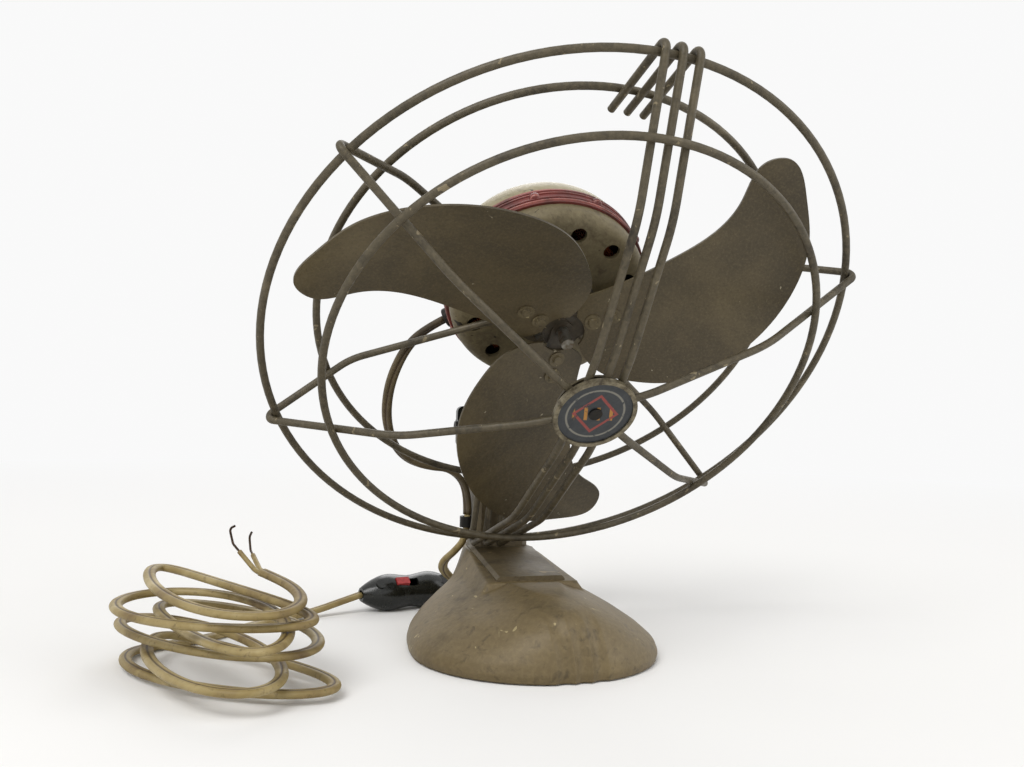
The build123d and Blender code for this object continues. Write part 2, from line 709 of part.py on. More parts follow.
rivets = []
washers = []
for index in range(BLADE_COUNT):
    for place in RIVET_POINTS:
        plane = blade_plane(index)
        top = plane.offset(BLADE_T / 2)
        with BuildPart() as washer:
            with BuildSketch(top.offset(SEAT_GAP)):
                with Locations(place):
                    Circle(min(WASHER_R, hypot(*place) - BLADE_ROOT_R))
                    Circle(RIVET_R + FIT_GAP, mode=Mode.SUBTRACT)
            extrude(amount=WASHER_T)
        washers.append(washer.part)
        head_base = SEAT_GAP + WASHER_T + FIT_GAP
        with BuildPart() as rivet:
            with BuildSketch(top.offset(head_base)):
                with Locations(place):
                    Circle(RIVET_HEAD_R)
            extrude(amount=RIVET_HEAD_T, taper=20)
            with BuildSketch(top.offset(head_base)):
                with Locations(place):
                    Circle(RIVET_R)
            extrude(amount=-(head_base + BLADE_T + SEAT_GAP + ARM_T))
        rivets.append(rivet.part)
save(Compound(children=washers), "rivet_washers")
save(Compound(children=rivets), "blade_rivets")

# ---- stem, neck and tilt lock ---------------------------------------------------------------
STEM_PLANE = Plane(origin=PIVOT, x_dir=FORWARD, z_dir=-SIDE)
STEM_TOP = STEM_DROP - MOTOR_R - BAND_OUT - SEAT_GAP
STEM_SHOULDER = STEM_TOP - 12.0
stem_mid = BAND_FRONT - BAND_L / 2 + PIVOT_BACK
with BuildPart() as stem:
    with BuildSketch(STEM_PLANE.offset(-STEM_W / 2)):
        with BuildLine():
            Polyline(
                (-STEM_EYE_R, 0),
                (STEM_EYE_R, 0),
                (stem_mid + STEM_TOP_L / 2, STEM_TOP + 8),
                (stem_mid - STEM_TOP_L / 2, STEM_TOP + 8),
                close=True,
            )
        make_face()
        Circle(STEM_EYE_R)
        Circle(BOLT_R + RUN_GAP, mode=Mode.SUBTRACT)
    extrude(amount=STEM_W)
    saddle_base = HEAD_ORIGIN - HEAD_UP * (STEM_DROP - STEM_SHOULDER)
    saddle_base = saddle_base + FORWARD * (BAND_FRONT - BAND_L / 2)
    with BuildSketch(Plane(origin=saddle_base, x_dir=SIDE, z_dir=HEAD_UP)):
        Rectangle(STEM_W, STEM_TOP_L)
    with BuildSketch(Plane(origin=saddle_base + HEAD_UP * 20, x_dir=SIDE, z_dir=HEAD_UP)):
        Rectangle(STEM_TOP_W, STEM_TOP_L)
    loft()
    with BuildSketch(HEAD.offset(BAND_FRONT + 20)):
        Circle(MOTOR_R + BAND_OUT + BAND_RIB + SEAT_GAP)
    extrude(amount=-(BAND_L + 50), mode=Mode.SUBTRACT)
save(stem.part, "head_stem")

# neck casting: sloping foot plate, chamfered column and two cheeks round the stem's eye
SLOT_HALF = STEM_W / 2 + PIVOT_GAP
SLOT_FLOOR = PIVOT_Z - STEM_EYE_R - 2.5
SEAT_SLOPE = (FOOT_TOP_Z - FOOT_FRONT_Z) / (FOOT_BEND_Y - FOOT_FRONT_Y)
NECK_SCREW_YS = (PIVOT_Y - NECK_SCREW_PITCH / 2, PIVOT_Y + NECK_SCREW_PITCH / 2)
CLIP_SCREW_Y = CLIP_Y + FLEX_D / 2 + CLIP_WALL + 2.6
with BuildPart() as neck:
    with BuildSketch(Plane.YZ.offset(-FOOT_HALF_W)):
        with BuildLine():
            Polyline(
                (FOOT_FRONT_Y, FOOT_FRONT_Z - FOOT_T),
                (FOOT_FRONT_Y, FOOT_FRONT_Z),
                (FOOT_BEND_Y, FOOT_TOP_Z),
                (FOOT_REAR_Y, FOOT_TOP_Z),
                (FOOT_REAR_Y, FOOT_TOP_Z - FOOT_T),
                (FOOT_BEND_Y, FOOT_TOP_Z - FOOT_T),
                close=True,
            )
        make_face()
    extrude(amount=2 * FOOT_HALF_W)
    with BuildSketch(Plane.XY.offset(FOOT_FRONT_Z - FOOT_T - 1)):
        with BuildLine():
            Polyline(
                (-FOOT_HALF_W, FOOT_FRONT_Y),
                (FOOT_HALF_W, FOOT_FRONT_Y),
                (FOOT_HALF_W, FOOT_BEND_Y),
                (FOOT_REAR_HALF_W, FOOT_REAR_Y),
                (-FOOT_REAR_HALF_W, FOOT_REAR_Y),
                (-FOOT_HALF_W, FOOT_BEND_Y),
                close=True,
            )
        make_face()
    extrude(amount=FOOT_TOP_Z, mode=Mode.INTERSECT)
    top_edges = neck.faces().filter_by(lambda f: f.normal_at().Z > 0.9).edges()
    chamfer(top_edges.filter_by(lambda e: abs(e.center().X) > FOOT_REAR_HALF_W - 1), FOOT_BEVEL)
    with BuildSketch(Plane.XY.offset(FOOT_TOP_Z - FOOT_T / 2)) as column:
        with Locations((0, PIVOT_Y)):
            Rectangle(2 * NECK_HALF_W, 2 * NECK_HALF_D)
        chamfer(column.vertices(), NECK_CHAMFER)
    extrude(amount=PIVOT_Z - FOOT_TOP_Z + FOOT_T / 2)
    with BuildSketch(Plane.YZ.offset(-NECK_HALF_W)):
        with Locations((PIVOT_Y, PIVOT_Z)):
            Circle(CHEEK_TOP_R)
    extrude(amount=2 * NECK_HALF_W)
    with BuildSketch(Plane.XZ.offset(-(PIVOT_Y + NECK_HALF_D + 1))):
        with Locations((0, SLOT_FLOOR + NECK_HALF_D * 2)):
            Rectangle(2 * SLOT_HALF, NECK_HALF_D * 4)
    extrude(amount=2 * NECK_HALF_D + 4, mode=Mode.SUBTRACT)
    with BuildSketch(Plane.YZ.offset(-NECK_HALF_W - 1)):
        with Locations((PIVOT_Y, PIVOT_Z)):
            Circle(BOLT_R + RUN_GAP)
    extrude(amount=2 * NECK_HALF_W + 2, mode=Mode.SUBTRACT)
    with BuildSketch(Plane.XY.offset(FOOT_TOP_Z)):
        with Locations(*[(0, y) for y in NECK_SCREW_YS]):
            Circle(NECK_SCREW_R + FIT_GAP)
    extrude(amount=-FOOT_T * 2, mode=Mode.SUBTRACT)
    with BuildSketch(Plane.XY.offset(FOOT_TOP_Z)):
        with Locations(*[(0, y) for y in NECK_SCREW_YS]):
            Circle(NECK_SCREW_R + FIT_GAP)
    extrude(amount=NECK_SCREW_DEPTH, mode=Mode.SUBTRACT)
    with BuildSketch(Plane.YZ.offset(-NECK_HALF_W - 1)):
        with Locations((CLIP_SCREW_Y, CLIP_Z)):
            Circle(CLIP_SCREW_R + FIT_GAP)
    extrude(amount=8, mode=Mode.SUBTRACT)
save(neck.part, "neck_casting")

# bolt through the cheeks and the eye, a washer at each end, and the winged lock nut on the left
BOLT_LEFT = -(NECK_HALF_W + SEAT_GAP + LOCK_WASHER_T + PIVOT_GAP + WING_HUB_L + 1.0)
BOLT_RIGHT = NECK_HALF_W + SEAT_GAP + LOCK_WASHER_T + SEAT_GAP
BOLT_PLANE = Plane(origin=PIVOT, x_dir=(0, 1, 0), z_dir=SIDE)
with BuildPart() as pivot_bolt:
    with BuildSketch(BOLT_PLANE.offset(BOLT_LEFT)):
        Circle(BOLT_R)
    extrude(amount=BOLT_RIGHT - BOLT_LEFT + 1)
    with BuildSketch(BOLT_PLANE.offset(BOLT_RIGHT)):
        RegularPolygon(BOLT_HEAD_AF / 2, 6, major_radius=False)
    extrude(amount=BOLT_HEAD_T)
save(pivot_bolt.part, "pivot_bolt")

washers = []
for start in (-NECK_HALF_W - SEAT_GAP - LOCK_WASHER_T, NECK_HALF_W + SEAT_GAP):
    with BuildPart() as lock_washer:
        with BuildSketch(BOLT_PLANE.offset(start)):
            Circle(LOCK_WASHER_R)
            Circle(BOLT_R + RUN_GAP, mode=Mode.SUBTRACT)
        extrude(amount=LOCK_WASHER_T)
    washers.append(lock_washer.part)
save(Compound(children=washers), "pivot_washers")

WING_FACE = -(NECK_HALF_W + SEAT_GAP + LOCK_WASHER_T + PIVOT_GAP)
with BuildPart() as wing_nut:
    with BuildSketch(BOLT_PLANE.offset(WING_FACE)):
        Circle(WING_HUB_R)
    extrude(amount=-WING_HUB_L)
    wing_plane = Plane(origin=PIVOT, x_dir=SIDE, z_dir=(0, -1, 0))
    wing_mid = WING_FACE - WING_HUB_L + WING_TIP_R
    with BuildSketch(wing_plane.offset(-WING_T / 2)):
        with Locations((wing_mid, 0)):
            SlotCenterToCenter(2 * WING_SPAN, 2 * WING_TIP_R, rotation=90)
    extrude(amount=WING_T)
    with BuildSketch(BOLT_PLANE.offset(WING_FACE + 1)):
        Circle(BOLT_R + RUN_GAP)
    extrude(amount=-WING_HUB_L - 3, mode=Mode.SUBTRACT)
save(wing_nut.part, "tilt_wing_nut")

# ---- cast foot ------------------------------------------------------------------------------
def egg(half_w, nose, wide_y, tail):
    """Outline of the foot at one level: a half ellipse in front of its widest line and one behind."""
    EllipticalCenterArc((0, wide_y), half_w, tail - wide_y, start_angle=0, arc_size=180)
    EllipticalCenterArc((0, wide_y), half_w, nose + wide_y, start_angle=180, arc_size=180)


def plinth_outline(spread):
    """Outline of the raised seat under the neck, widened by spread all round."""
    nose = FOOT_FRONT_Y - 1.6 - spread * 0.4
    tail = FOOT_REAR_Y + 0.8 + spread * 0.1
    front_w = FOOT_HALF_W + 0.8 + spread
    rear_w = FOOT_REAR_HALF_W + 0.8 + spread * 0.5
    Polyline(
        (-front_w, nose),
        (front_w, nose),
        (front_w, FOOT_BEND_Y),
        (rear_w, tail),
        (-rear_w, tail),
        (-front_w, FOOT_BEND_Y),
        close=True,
    )


def flute_points(x):
    """Line of the cutter for a flute at x: off the foot's nose by its radius less the depth."""
    nose_line = []
    for z, half_w, nose, wide_y, _ in BASE_LEVELS:
        nose_line.append(Vector(wide_y - (nose + wide_y) * sqrt(1 - (x / half_w) ** 2), z))
    points = []
    for k, depth in enumerate(FLUTE_DEPTHS, start=1):
        run = (nose_line[k + 1] - nose_line[k - 1]).normalized()
        out = Vector(-run.Y, run.X)
        points.append(tuple(nose_line[k] + out * (FLUTE_R - depth))[:2])
    return points


with BuildPart() as foot:
    for z, half_w, nose, wide_y, tail in BASE_LEVELS:
        with BuildSketch(Plane.XY.offset(z)):
            with BuildLine():
                egg(half_w, nose, wide_y, tail)
            make_face()
    loft()
    with BuildSketch(Plane.XY.offset(PLINTH_BOTTOM_Z)):
        with BuildLine():
            plinth_outline(PLINTH_SPREAD)
        make_face()
    with BuildSketch(Plane.XY.offset(FOOT_TOP_Z)):
        with BuildLine():
            plinth_outline(0)
        make_face()
    loft()
    with BuildSketch(Plane.YZ.offset(-2 * FOOT_HALF_W)):
        with BuildLine():
            Polyline(
                (FOOT_FRONT_Y - 30, FOOT_FRONT_Z - FOOT_T - SEAT_GAP - 30 * SEAT_SLOPE),
                (FOOT_BEND_Y, FOOT_TOP_Z - FOOT_T - SEAT_GAP),
                (FOOT_REAR_Y + 20, FOOT_TOP_Z - FOOT_T - SEAT_GAP),
                (FOOT_REAR_Y + 20, FOOT_TOP_Z + 20),
                (FOOT_FRONT_Y - 30, FOOT_TOP_Z + 20),
                close=True,
            )
        make_face()
    extrude(amount=4 * FOOT_HALF_W, mode=Mode.SUBTRACT)
    for k in range(FLUTE_COUNT):
        flute_x = FLUTE_X + (k - (FLUTE_COUNT - 1) / 2) * FLUTE_PITCH
        with BuildLine(Plane.YZ.offset(flute_x)) as flute_path:
            Spline(*flute_points(flute_x))
        with BuildSketch(Plane(origin=flute_path.line @ 0, z_dir=flute_path.line % 0)):
            Circle(FLUTE_R)
        sweep(path=flute_path.line, mode=Mode.SUBTRACT)
    for z, half_w, nose, wide_y, tail in BASE_LEVELS[:-1]:
        with BuildSketch(Plane.XY.offset(z - (BASE_WALL if z > RIM_Z else 0.0))):
            with BuildLine():
                egg(half_w - BASE_WALL, nose - BASE_WALL, wide_y, tail - BASE_WALL)
            make_face()
    loft(mode=Mode.SUBTRACT)

# steel plate let into the foot, with its screws, and the felt pad under it
PLATE_Z = FELT_T + SEAT_GAP
_, WIDE_HALF_W, WIDE_NOSE, WIDE_Y, WIDE_TAIL = BASE_LEVELS[1]
with BuildPart() as base_plate:
    with BuildSketch(Plane.XY.offset(PLATE_Z)):
        with BuildLine():
            egg(WIDE_HALF_W - PLATE_INSET, WIDE_NOSE - PLATE_INSET, WIDE_Y, WIDE_TAIL - PLATE_INSET)
        make_face()
        with Locations(*PLATE_SCREW_PLACES):
            Circle(PLATE_SCREW_R + FIT_GAP, mode=Mode.SUBTRACT)
        with Locations(*[(0, y) for y in NECK_SCREW_YS]):
            Circle(NECK_SCREW_HEAD_R + 1, mode=Mode.SUBTRACT)
    extrude(amount=PLATE_T)
save(base_plate.part, "base_plate")

with BuildPart() as felt:
    with BuildSketch(Plane.XY):
        with BuildLine():
            egg(WIDE_HALF_W - FELT_INSET, WIDE_NOSE - FELT_INSET, WIDE_Y, WIDE_TAIL - FELT_INSET)
        make_face()
        with Locations(*PLATE_SCREW_PLACES):
            Circle(PLATE_SCREW_HEAD_R + 1, mode=Mode.SUBTRACT)
    extrude(amount=FELT_T)
save(felt.part, "base_felt")

# posts inside the foot take the plate's screws, webs under the seat take the neck's
POST_FOOT = PLATE_Z + PLATE_T + SEAT_GAP
NECK_SCREW_SEAT = FOOT_TOP_Z - FOOT_T - SEAT_GAP - 10.0
with BuildPart() as base_posts:
    for place, top in zip(PLATE_SCREW_PLACES, POST_TOPS):
        with BuildSketch(Plane.XY.offset(POST_FOOT)):
            with Locations(place):
                Circle(PLATE_POST_R)
                Circle(PLATE_SCREW_R + FIT_GAP, mode=Mode.SUBTRACT)
        extrude(amount=top - POST_FOOT)
with BuildPart() as base:
    add(foot.part)
    add(base_posts.part)
    with BuildSketch(Plane.XY.offset(FOOT_TOP_Z)):
        with Locations(*[(0, y) for y in NECK_SCREW_YS]):
            Circle(NECK_SCREW_R + FIT_GAP)
    extrude(amount=-FOOT_TOP_Z / 2, mode=Mode.SUBTRACT)
    with BuildSketch(Plane.XY.offset(NECK_SCREW_SEAT + SEAT_GAP)):
        with Locations(*[(0, y) for y in NECK_SCREW_YS]):
            Circle(NECK_SCREW_HEAD_R + PIVOT_GAP)
    extrude(amount=-NECK_SCREW_SEAT, mode=Mode.SUBTRACT)
save(base.part, "base_casting")

plate_screws = []
for place, top in zip(PLATE_SCREW_PLACES, POST_TOPS):
    with BuildPart() as plate_screw:
        with BuildSketch(Plane.XY.offset(PLATE_Z - SEAT_GAP)):
            with Locations(place):
                Circle(PLATE_SCREW_HEAD_R)
        extrude(amount=-PLATE_SCREW_HEAD_T)
        with BuildSketch(Plane.XY.offset(PLATE_Z - SEAT_GAP)):
            with Locations(place):
                Circle(PLATE_SCREW_R)
        extrude(amount=9.0)
    plate_screws.append(plate_screw.part)
save(Compound(children=plate_screws), "base_plate_screws")

neck_screws = []
for y in NECK_SCREW_YS:
    with BuildPart() as neck_screw:
        with BuildSketch(Plane.XY.offset(NECK_SCREW_SEAT)):
            with Locations((0, y)):
                Circle(NECK_SCREW_HEAD_R)
        extrude(amount=-NECK_SCREW_HEAD_T)
        with BuildSketch(Plane.XY.offset(NECK_SCREW_SEAT)):
            with Locations((0, y)):
                Circle(NECK_SCREW_R)
        extrude(amount=FOOT_TOP_Z + NECK_SCREW_DEPTH - 2 - NECK_SCREW_SEAT)
    neck_screws.append(neck_screw.part)
save(Compound(children=neck_screws), "neck_screws")

# ---- flex, gland, clip and in-line switch ---------------------------------------------------
GLAND_OUT = station_dir(GLAND_ANGLE)
GLAND_SEAT = HEAD_ORIGIN - FORWARD * GLAND_BACK + GLAND_OUT * (MOTOR_R - 1.0)
GLAND_PLANE = Plane(origin=GLAND_SEAT, x_dir=FORWARD, z_dir=GLAND_OUT)
with BuildPart() as gland:
    with BuildSketch(GLAND_PLANE):
        Circle(GLAND_R)
    extrude(amount=GLAND_L)
    fillet(gland.faces().sort_by(Axis(GLAND_SEAT, GLAND_OUT))[-1].edges(), 1.2)
    with BuildSketch(HEAD.offset(BAND_FRONT)):
        Circle(MOTOR_R + SEAT_GAP)
    extrude(amount=-(BAND_L + REAR_BELL_L), mode=Mode.SUBTRACT)
save(gland.part, "motor_gland")

OILER_SEAT = HEAD_ORIGIN + FORWARD * (BAND_FRONT - BAND_L / 2)
OILER_OUT = station_dir(OILER_ANGLE)
OILER_BASE_R = MOTOR_R + BAND_OUT + BAND_RIB + SEAT_GAP
with BuildPart() as oiler:
    with BuildSketch(Plane(origin=OILER_SEAT + OILER_OUT * (MOTOR_R - 2), x_dir=FORWARD, z_dir=OILER_OUT)):
        Circle(OILER_R)
    extrude(amount=OILER_L + 2)
    fillet(oiler.faces().sort_by(Axis(OILER_SEAT, OILER_OUT))[-1].edges(), 2.0)
    with BuildSketch(HEAD.offset(BAND_FRONT + 1)):
        Circle(OILER_BASE_R)
    extrude(amount=-(BAND_L + 2), mode=Mode.SUBTRACT)
save(oiler.part, "oiler_cap")

# saddle clip that holds the flex against the neck's left face
CLIP_X = -(NECK_HALF_W + SEAT_GAP)
CORD_X = CLIP_X - FLEX_D / 2 - SEAT_GAP
with BuildPart() as clip:
    with BuildSketch(Plane.XY.offset(CLIP_Z - CLIP_H / 2)):
        with Locations((CORD_X, CLIP_Y)):
            Circle(FLEX_D / 2 + SEAT_GAP + CLIP_WALL)
        with Locations((CLIP_X - CLIP_WALL / 2, CLIP_Y + (FLEX_D + CLIP_TAB) / 2)):
            Rectangle(CLIP_WALL, FLEX_D + CLIP_TAB)
        with Locations((CLIP_X + FLEX_D, CLIP_Y)):
            Rectangle(2 * FLEX_D, 6 * FLEX_D, mode=Mode.SUBTRACT)
        with Locations((CORD_X, CLIP_Y)):
            Circle(FLEX_D / 2 + SEAT_GAP, mode=Mode.SUBTRACT)
        with Locations((CORD_X + FLEX_D, CLIP_Y)):
            Rectangle(2 * FLEX_D, FLEX_D + 2 * SEAT_GAP, mode=Mode.SUBTRACT)
    extrude(amount=CLIP_H)
    with BuildSketch(Plane.YZ.offset(CLIP_X - 10)):
        with Locations((CLIP_SCREW_Y, CLIP_Z)):
            Circle(CLIP_SCREW_R + FIT_GAP)
    extrude(amount=12, mode=Mode.SUBTRACT)
save(clip.part, "cord_clip")

with BuildPart() as clip_screw:
    with BuildSketch(Plane.YZ.offset(CLIP_X - CLIP_WALL - SEAT_GAP)):
        with Locations((CLIP_SCREW_Y, CLIP_Z)):
            Circle(CLIP_SCREW_R)
    extrude(amount=7)
    with BuildSketch(Plane.YZ.offset(CLIP_X - CLIP_WALL - SEAT_GAP)):
        with Locations((CLIP_SCREW_Y, CLIP_Z)):
            Circle(CLIP_SCREW_HEAD_R)
    extrude(amount=-1.4)
save(clip_screw.part, "cord_clip_screw")

# switch: two shells split along the middle, lying rolled towards the front
SWITCH_DIR = Vector(cos(radians(SWITCH_TURN)), sin(radians(SWITCH_TURN)), 0)
SWITCH_ORIGIN = Vector(SWITCH_AT[0], SWITCH_AT[1], SWITCH_R + SEAT_GAP)
switch_front = Vector(SWITCH_DIR.Y, -SWITCH_DIR.X, 0)
SWITCH_TOP = switch_front * sin(radians(SWITCH_ROLL)) + Vector(0, 0, 1) * cos(radians(SWITCH_ROLL))
SWITCH = Plane(origin=SWITCH_ORIGIN, x_dir=SWITCH_DIR, z_dir=SWITCH_TOP)
SWITCH_SIDE = Plane(origin=SWITCH_ORIGIN, x_dir=SWITCH_DIR, z_dir=-SWITCH.y_dir)
SWITCH_AXIS = Axis(SWITCH_ORIGIN, SWITCH_DIR)
SWITCH_END = SWITCH_L / 2


def switch_outline(inset):
    """Half outline of the switch, fat at both sides of its saddle and narrow at its mouths."""
    end = SWITCH_END - inset
    mouth = SWITCH_MOUTH_R - inset / 2
    Line((-end, 0), (-end, mouth))
    Spline(
        (-end, mouth),
        (-SWITCH_LOBE - 7, SWITCH_R - 2.2 - inset),
        (-SWITCH_LOBE + 1, SWITCH_R - inset),
        (0, SWITCH_SADDLE_R - inset),
        (SWITCH_LOBE - 1, SWITCH_R - inset),
        (SWITCH_LOBE + 7, SWITCH_R - 2.2 - inset),
        (end, mouth),
    )
    Line((end, mouth), (end, 0))
    Line((end, 0), (-end, 0))


def switch_shell(upper):
    """One half of the switch's case, with its screw holes and, on top, the slide's slot."""
    side = 1 if upper else -1
    with BuildPart() as shell:
        with BuildSketch(SWITCH_SIDE):
            with BuildLine():
                switch_outline(0)
            make_face()
        revolve(axis=SWITCH_AXIS)
        with BuildSketch(SWITCH_SIDE):
            with BuildLine():
                switch_outline(SWITCH_WALL)
            make_face()
        revolve(axis=SWITCH_AXIS, mode=Mode.SUBTRACT)
        with BuildSketch(Plane(origin=SWITCH_ORIGIN - SWITCH_DIR * 40, z_dir=SWITCH_DIR)):
            Circle(FLEX_D / 2 + SEAT_GAP)
        extrude(amount=80, mode=Mode.SUBTRACT)
        for x in (-SWITCH_SCREW_PLACE, SWITCH_SCREW_PLACE):
            with BuildSketch(SWITCH):
                with Locations((x, 0)):
                    Circle(SWITCH_SCREW_R + 1.6)
            extrude(amount=side * (SWITCH_R - SWITCH_WALL / 2))
        with BuildSketch(SWITCH.offset(-SWITCH_R - 1)):
            with Locations((-SWITCH_SCREW_PLACE, 0), (SWITCH_SCREW_PLACE, 0)):
                Circle(SWITCH_SCREW_R + FIT_GAP)
        extrude(amount=2 * SWITCH_R - 3, mode=Mode.SUBTRACT)
        if upper:
            with BuildSketch(SWITCH.offset(SWITCH_SADDLE_R / 2)):
                with Locations((SLOT_X, 0)):
                    Rectangle(SLOT_L, SLOT_W)
            extrude(amount=SWITCH_R, mode=Mode.SUBTRACT)
        with BuildSketch(SWITCH.offset(SEAT_GAP / 2 * side)):
            Rectangle(3 * SWITCH_L, 4 * SWITCH_R)
        extrude(amount=-side * 2 * SWITCH_R, mode=Mode.SUBTRACT)
    return shell.part


save(switch_shell(True), "switch_upper_shell")
save(switch_shell(False), "switch_lower_shell")

SLIDE_BASE = SWITCH_SADDLE_R - SWITCH_WALL - SLIDE_FLANGE_T - 2.2
with BuildPart() as slide:
    with BuildSketch(SWITCH.offset(SLIDE_BASE)):
        with Locations((SLOT_X - SLIDE_TRAVEL / 2, 0)):
            Rectangle(SLIDE_FLANGE_L, SLIDE_FLANGE_W)
    extrude(amount=SLIDE_FLANGE_T)
    with BuildSketch(SWITCH.offset(SLIDE_BASE)):
        with Locations((SLOT_X - SLIDE_TRAVEL / 2, 0)):
            Rectangle(SLIDE_L, SLOT_W - 2 * PIVOT_GAP)
    extrude(amount=SWITCH_SADDLE_R - SLIDE_BASE + SLIDE_OUT)
save(slide.part, "switch_slide")

terminals = []
for x in (-TERMINAL_PLACE, TERMINAL_PLACE):
    for y in (-1, 1):
        with BuildPart() as terminal:
            with BuildSketch(SWITCH.offset(TERMINAL_FLOOR)):
                with Locations((x, y * (TERMINAL_SIZE[1] / 2 + 0.4))):
                    Rectangle(TERMINAL_SIZE[0], TERMINAL_SIZE[1])
            extrude(amount=TERMINAL_SIZE[2])
        terminals.append(terminal.part)
save(Compound(children=terminals), "switch_terminals")

switch_screws = []
for x in (-SWITCH_SCREW_PLACE, SWITCH_SCREW_PLACE):
    with BuildPart() as switch_screw:
        with BuildSketch(SWITCH.offset(-SWITCH_SADDLE_R - 1.6)):
            with Locations((x, 0)):
                Circle(SWITCH_SCREW_R)
        extrude(amount=SWITCH_SADDLE_R + 6)
    switch_screws.append(switch_screw.part)
save(Compound(children=switch_screws), "switch_screws")


def cord_tube(points, name):
    """A round cord along a route of straight runs joined by arcs as large as the runs allow."""
    route = [Vector(*point) for point in points]
    radii = []
    for before, here, after in zip(route, route[1:], route[2:]):
        run_in = here - before
        run_out = after - here
        turn = radians(run_in.get_angle(run_out))
        radii.append(0.45 * min(run_in.length, run_out.length) * cos(turn / 2) / sin(turn / 2))
    with BuildPart() as cord:
        with BuildLine() as path:
            FilletPolyline(*route, radius=radii)
        with BuildSketch(Plane(origin=path.wire() @ 0, z_dir=path.wire() % 0)):
            Circle(FLEX_D / 2)
        sweep(path=path.wire())
    length = path.wire().length
    print(name, "length", round(length, 1), "least radius", round(min(radii), 1))
    print(name, "volume over section times length", round(cord.part.volume / (pi * FLEX_D**2 / 4 * length), 4))
    return cord.part



# lead with the slack that lets the head tilt, from the motor's gland to the top of the neck's clip
LEAD_ROUTE = (
    (-43.2, 28.1, 166.5),
    (-52.7, 32.8, 161.0),
    (-61.0, 37.8, 151.6),
    (-66.2, 43.5, 139.0),
    (-68.0, 51.0, 126.5),
    (-67.0, 58.5, 113.5),
    (-62.6, 64.3, 101.5),
    (-54.5, 67.8, 91.8),
    (-42.0, 69.2, 87.2),
    (-27.5, 69.2, 86.3),
    (-18.1, 69.0, 75.6),
    (-18.1, 69.0, 61.0),
)
save(cord_tube(LEAD_ROUTE, "motor lead"), "motor_lead")

# from the clip down behind the neck, round on the floor and into the switch
SWITCH_ROUTE = (
    (-18.1, 69.0, 61.0),
    (-18.1, 69.0, 48.5),
    (-23.0, 76.0, 39.5),
    (-27.4, 86.0, 32.5),
    (-25.0, 97.0, 25.0),
    (-15.0, 102.5, 17.0),
    (-2.0, 102.4, 8.6),
    (12.5, 98.5, 3.4),
    (27.5, 94.5, 2.55),
    (43.0, 94.2, 2.55),
    (57.0, 101.5, 2.6),
    (63.0, 116.0, 2.55),
    (57.8, 130.6, 2.6),
    (44.0, 137.8, 2.55),
    (28.8, 135.4, 3.0),
    (14.2, 130.2, 5.2),
    (0.6, 125.6, 8.8),
    (-13.0, 121.8, 10.65),
)
save(cord_tube(SWITCH_ROUTE, "flex to switch"), "flex_to_switch")


# ---- loose hank -----------------------------------------------------------------------------
FLOOR_Z = FLEX_D / 2 + SEAT_GAP


def hank_point(turn):
    """Centreline of the loose hank after a number of turns."""
    half_l = HANK_HALF_L + HANK_VARY_L * sin(4.0 * turn + 0.4)
    half_w = HANK_HALF_W + HANK_VARY_W * sin(4.8 * turn + 1.0)
    heading = radians(HANK_HEADING + HANK_VARY_HEADING * sin(3.2 * turn))
    along = half_l * cos(2 * pi * turn)
    across = half_w * sin(2 * pi * turn)
    lift = HANK_FAN * (turn / HANK_TURNS) ** 1.5 * (1 + cos(2 * pi * turn)) / 2
    return Vector(
        HANK_X + HANK_DRIFT * sin(2.6 * turn) + along * cos(heading) - across * sin(heading),
        HANK_Y + HANK_DRIFT * cos(2.2 * turn) + along * sin(heading) + across * cos(heading),
        FLOOR_Z + HANK_RISE * turn + lift,
    )


def hank_heading(turn):
    """Unit tangent of that centreline; both ends run on level."""
    step = 0.001
    tangent = hank_point(turn + step) - hank_point(max(turn - step, 0))
    if turn == 0:
        tangent = Vector(tangent.X, tangent.Y, 0)
    return tangent.normalized()


def biarc(start, start_dir, end, end_dir):
    """Two arcs, tangent to each other, between two points with given headings."""
    chord = end - start
    both = start_dir + end_dir
    square = 2 * (start_dir.dot(end_dir) - 1)
    linear = -2 * chord.dot(both)
    reach = (-linear - sqrt(linear**2 - 4 * square * chord.dot(chord))) / (2 * square)
    near = start + start_dir * reach
    far = end - end_dir * reach
    joint = (near + far) / 2
    TangentArc(start, joint, tangent=start_dir)
    TangentArc(joint, end, tangent=(far - near).normalized())


def least_gap(wire, diameter, skip):
    """Least gap of a tube to itself, on points along its centreline, past neighbours on the run."""
    count = ceil(wire.length / 2.5)
    points = [wire @ (k / count) for k in range(count + 1)]
    near = min((a - b).length for k, a in enumerate(points) for b in points[k + skip:])
    return near - diameter


quarters = int(HANK_TURNS * 4)
with BuildPart() as hank:
    with BuildLine() as hank_path:
        first = hank_point(0)
        Line(first - hank_heading(0) * FLEX_D, first)
        for k in range(quarters):
            biarc(
                hank_point(k / 4),
                hank_heading(k / 4),
                hank_point((k + 1) / 4),
                hank_heading((k + 1) / 4),
            )
        last = hank_point(HANK_TURNS)
        Line(last, last + hank_heading(HANK_TURNS) * FLEX_D)
    with BuildSketch(Plane(origin=hank_path.wire() @ 0, z_dir=hank_path.wire() % 0)):
        Circle(FLEX_D / 2)
    sweep(path=hank_path.wire())
save(hank.part, "flex_hank")
HANK_END = hank_path.wire() @ 1
END_DIR = hank_path.wire() % 1
print("hank length", round(hank_path.wire().length, 1))
print("hank least gap", round(least_gap(hank_path.wire(), FLEX_D, 8), 2))

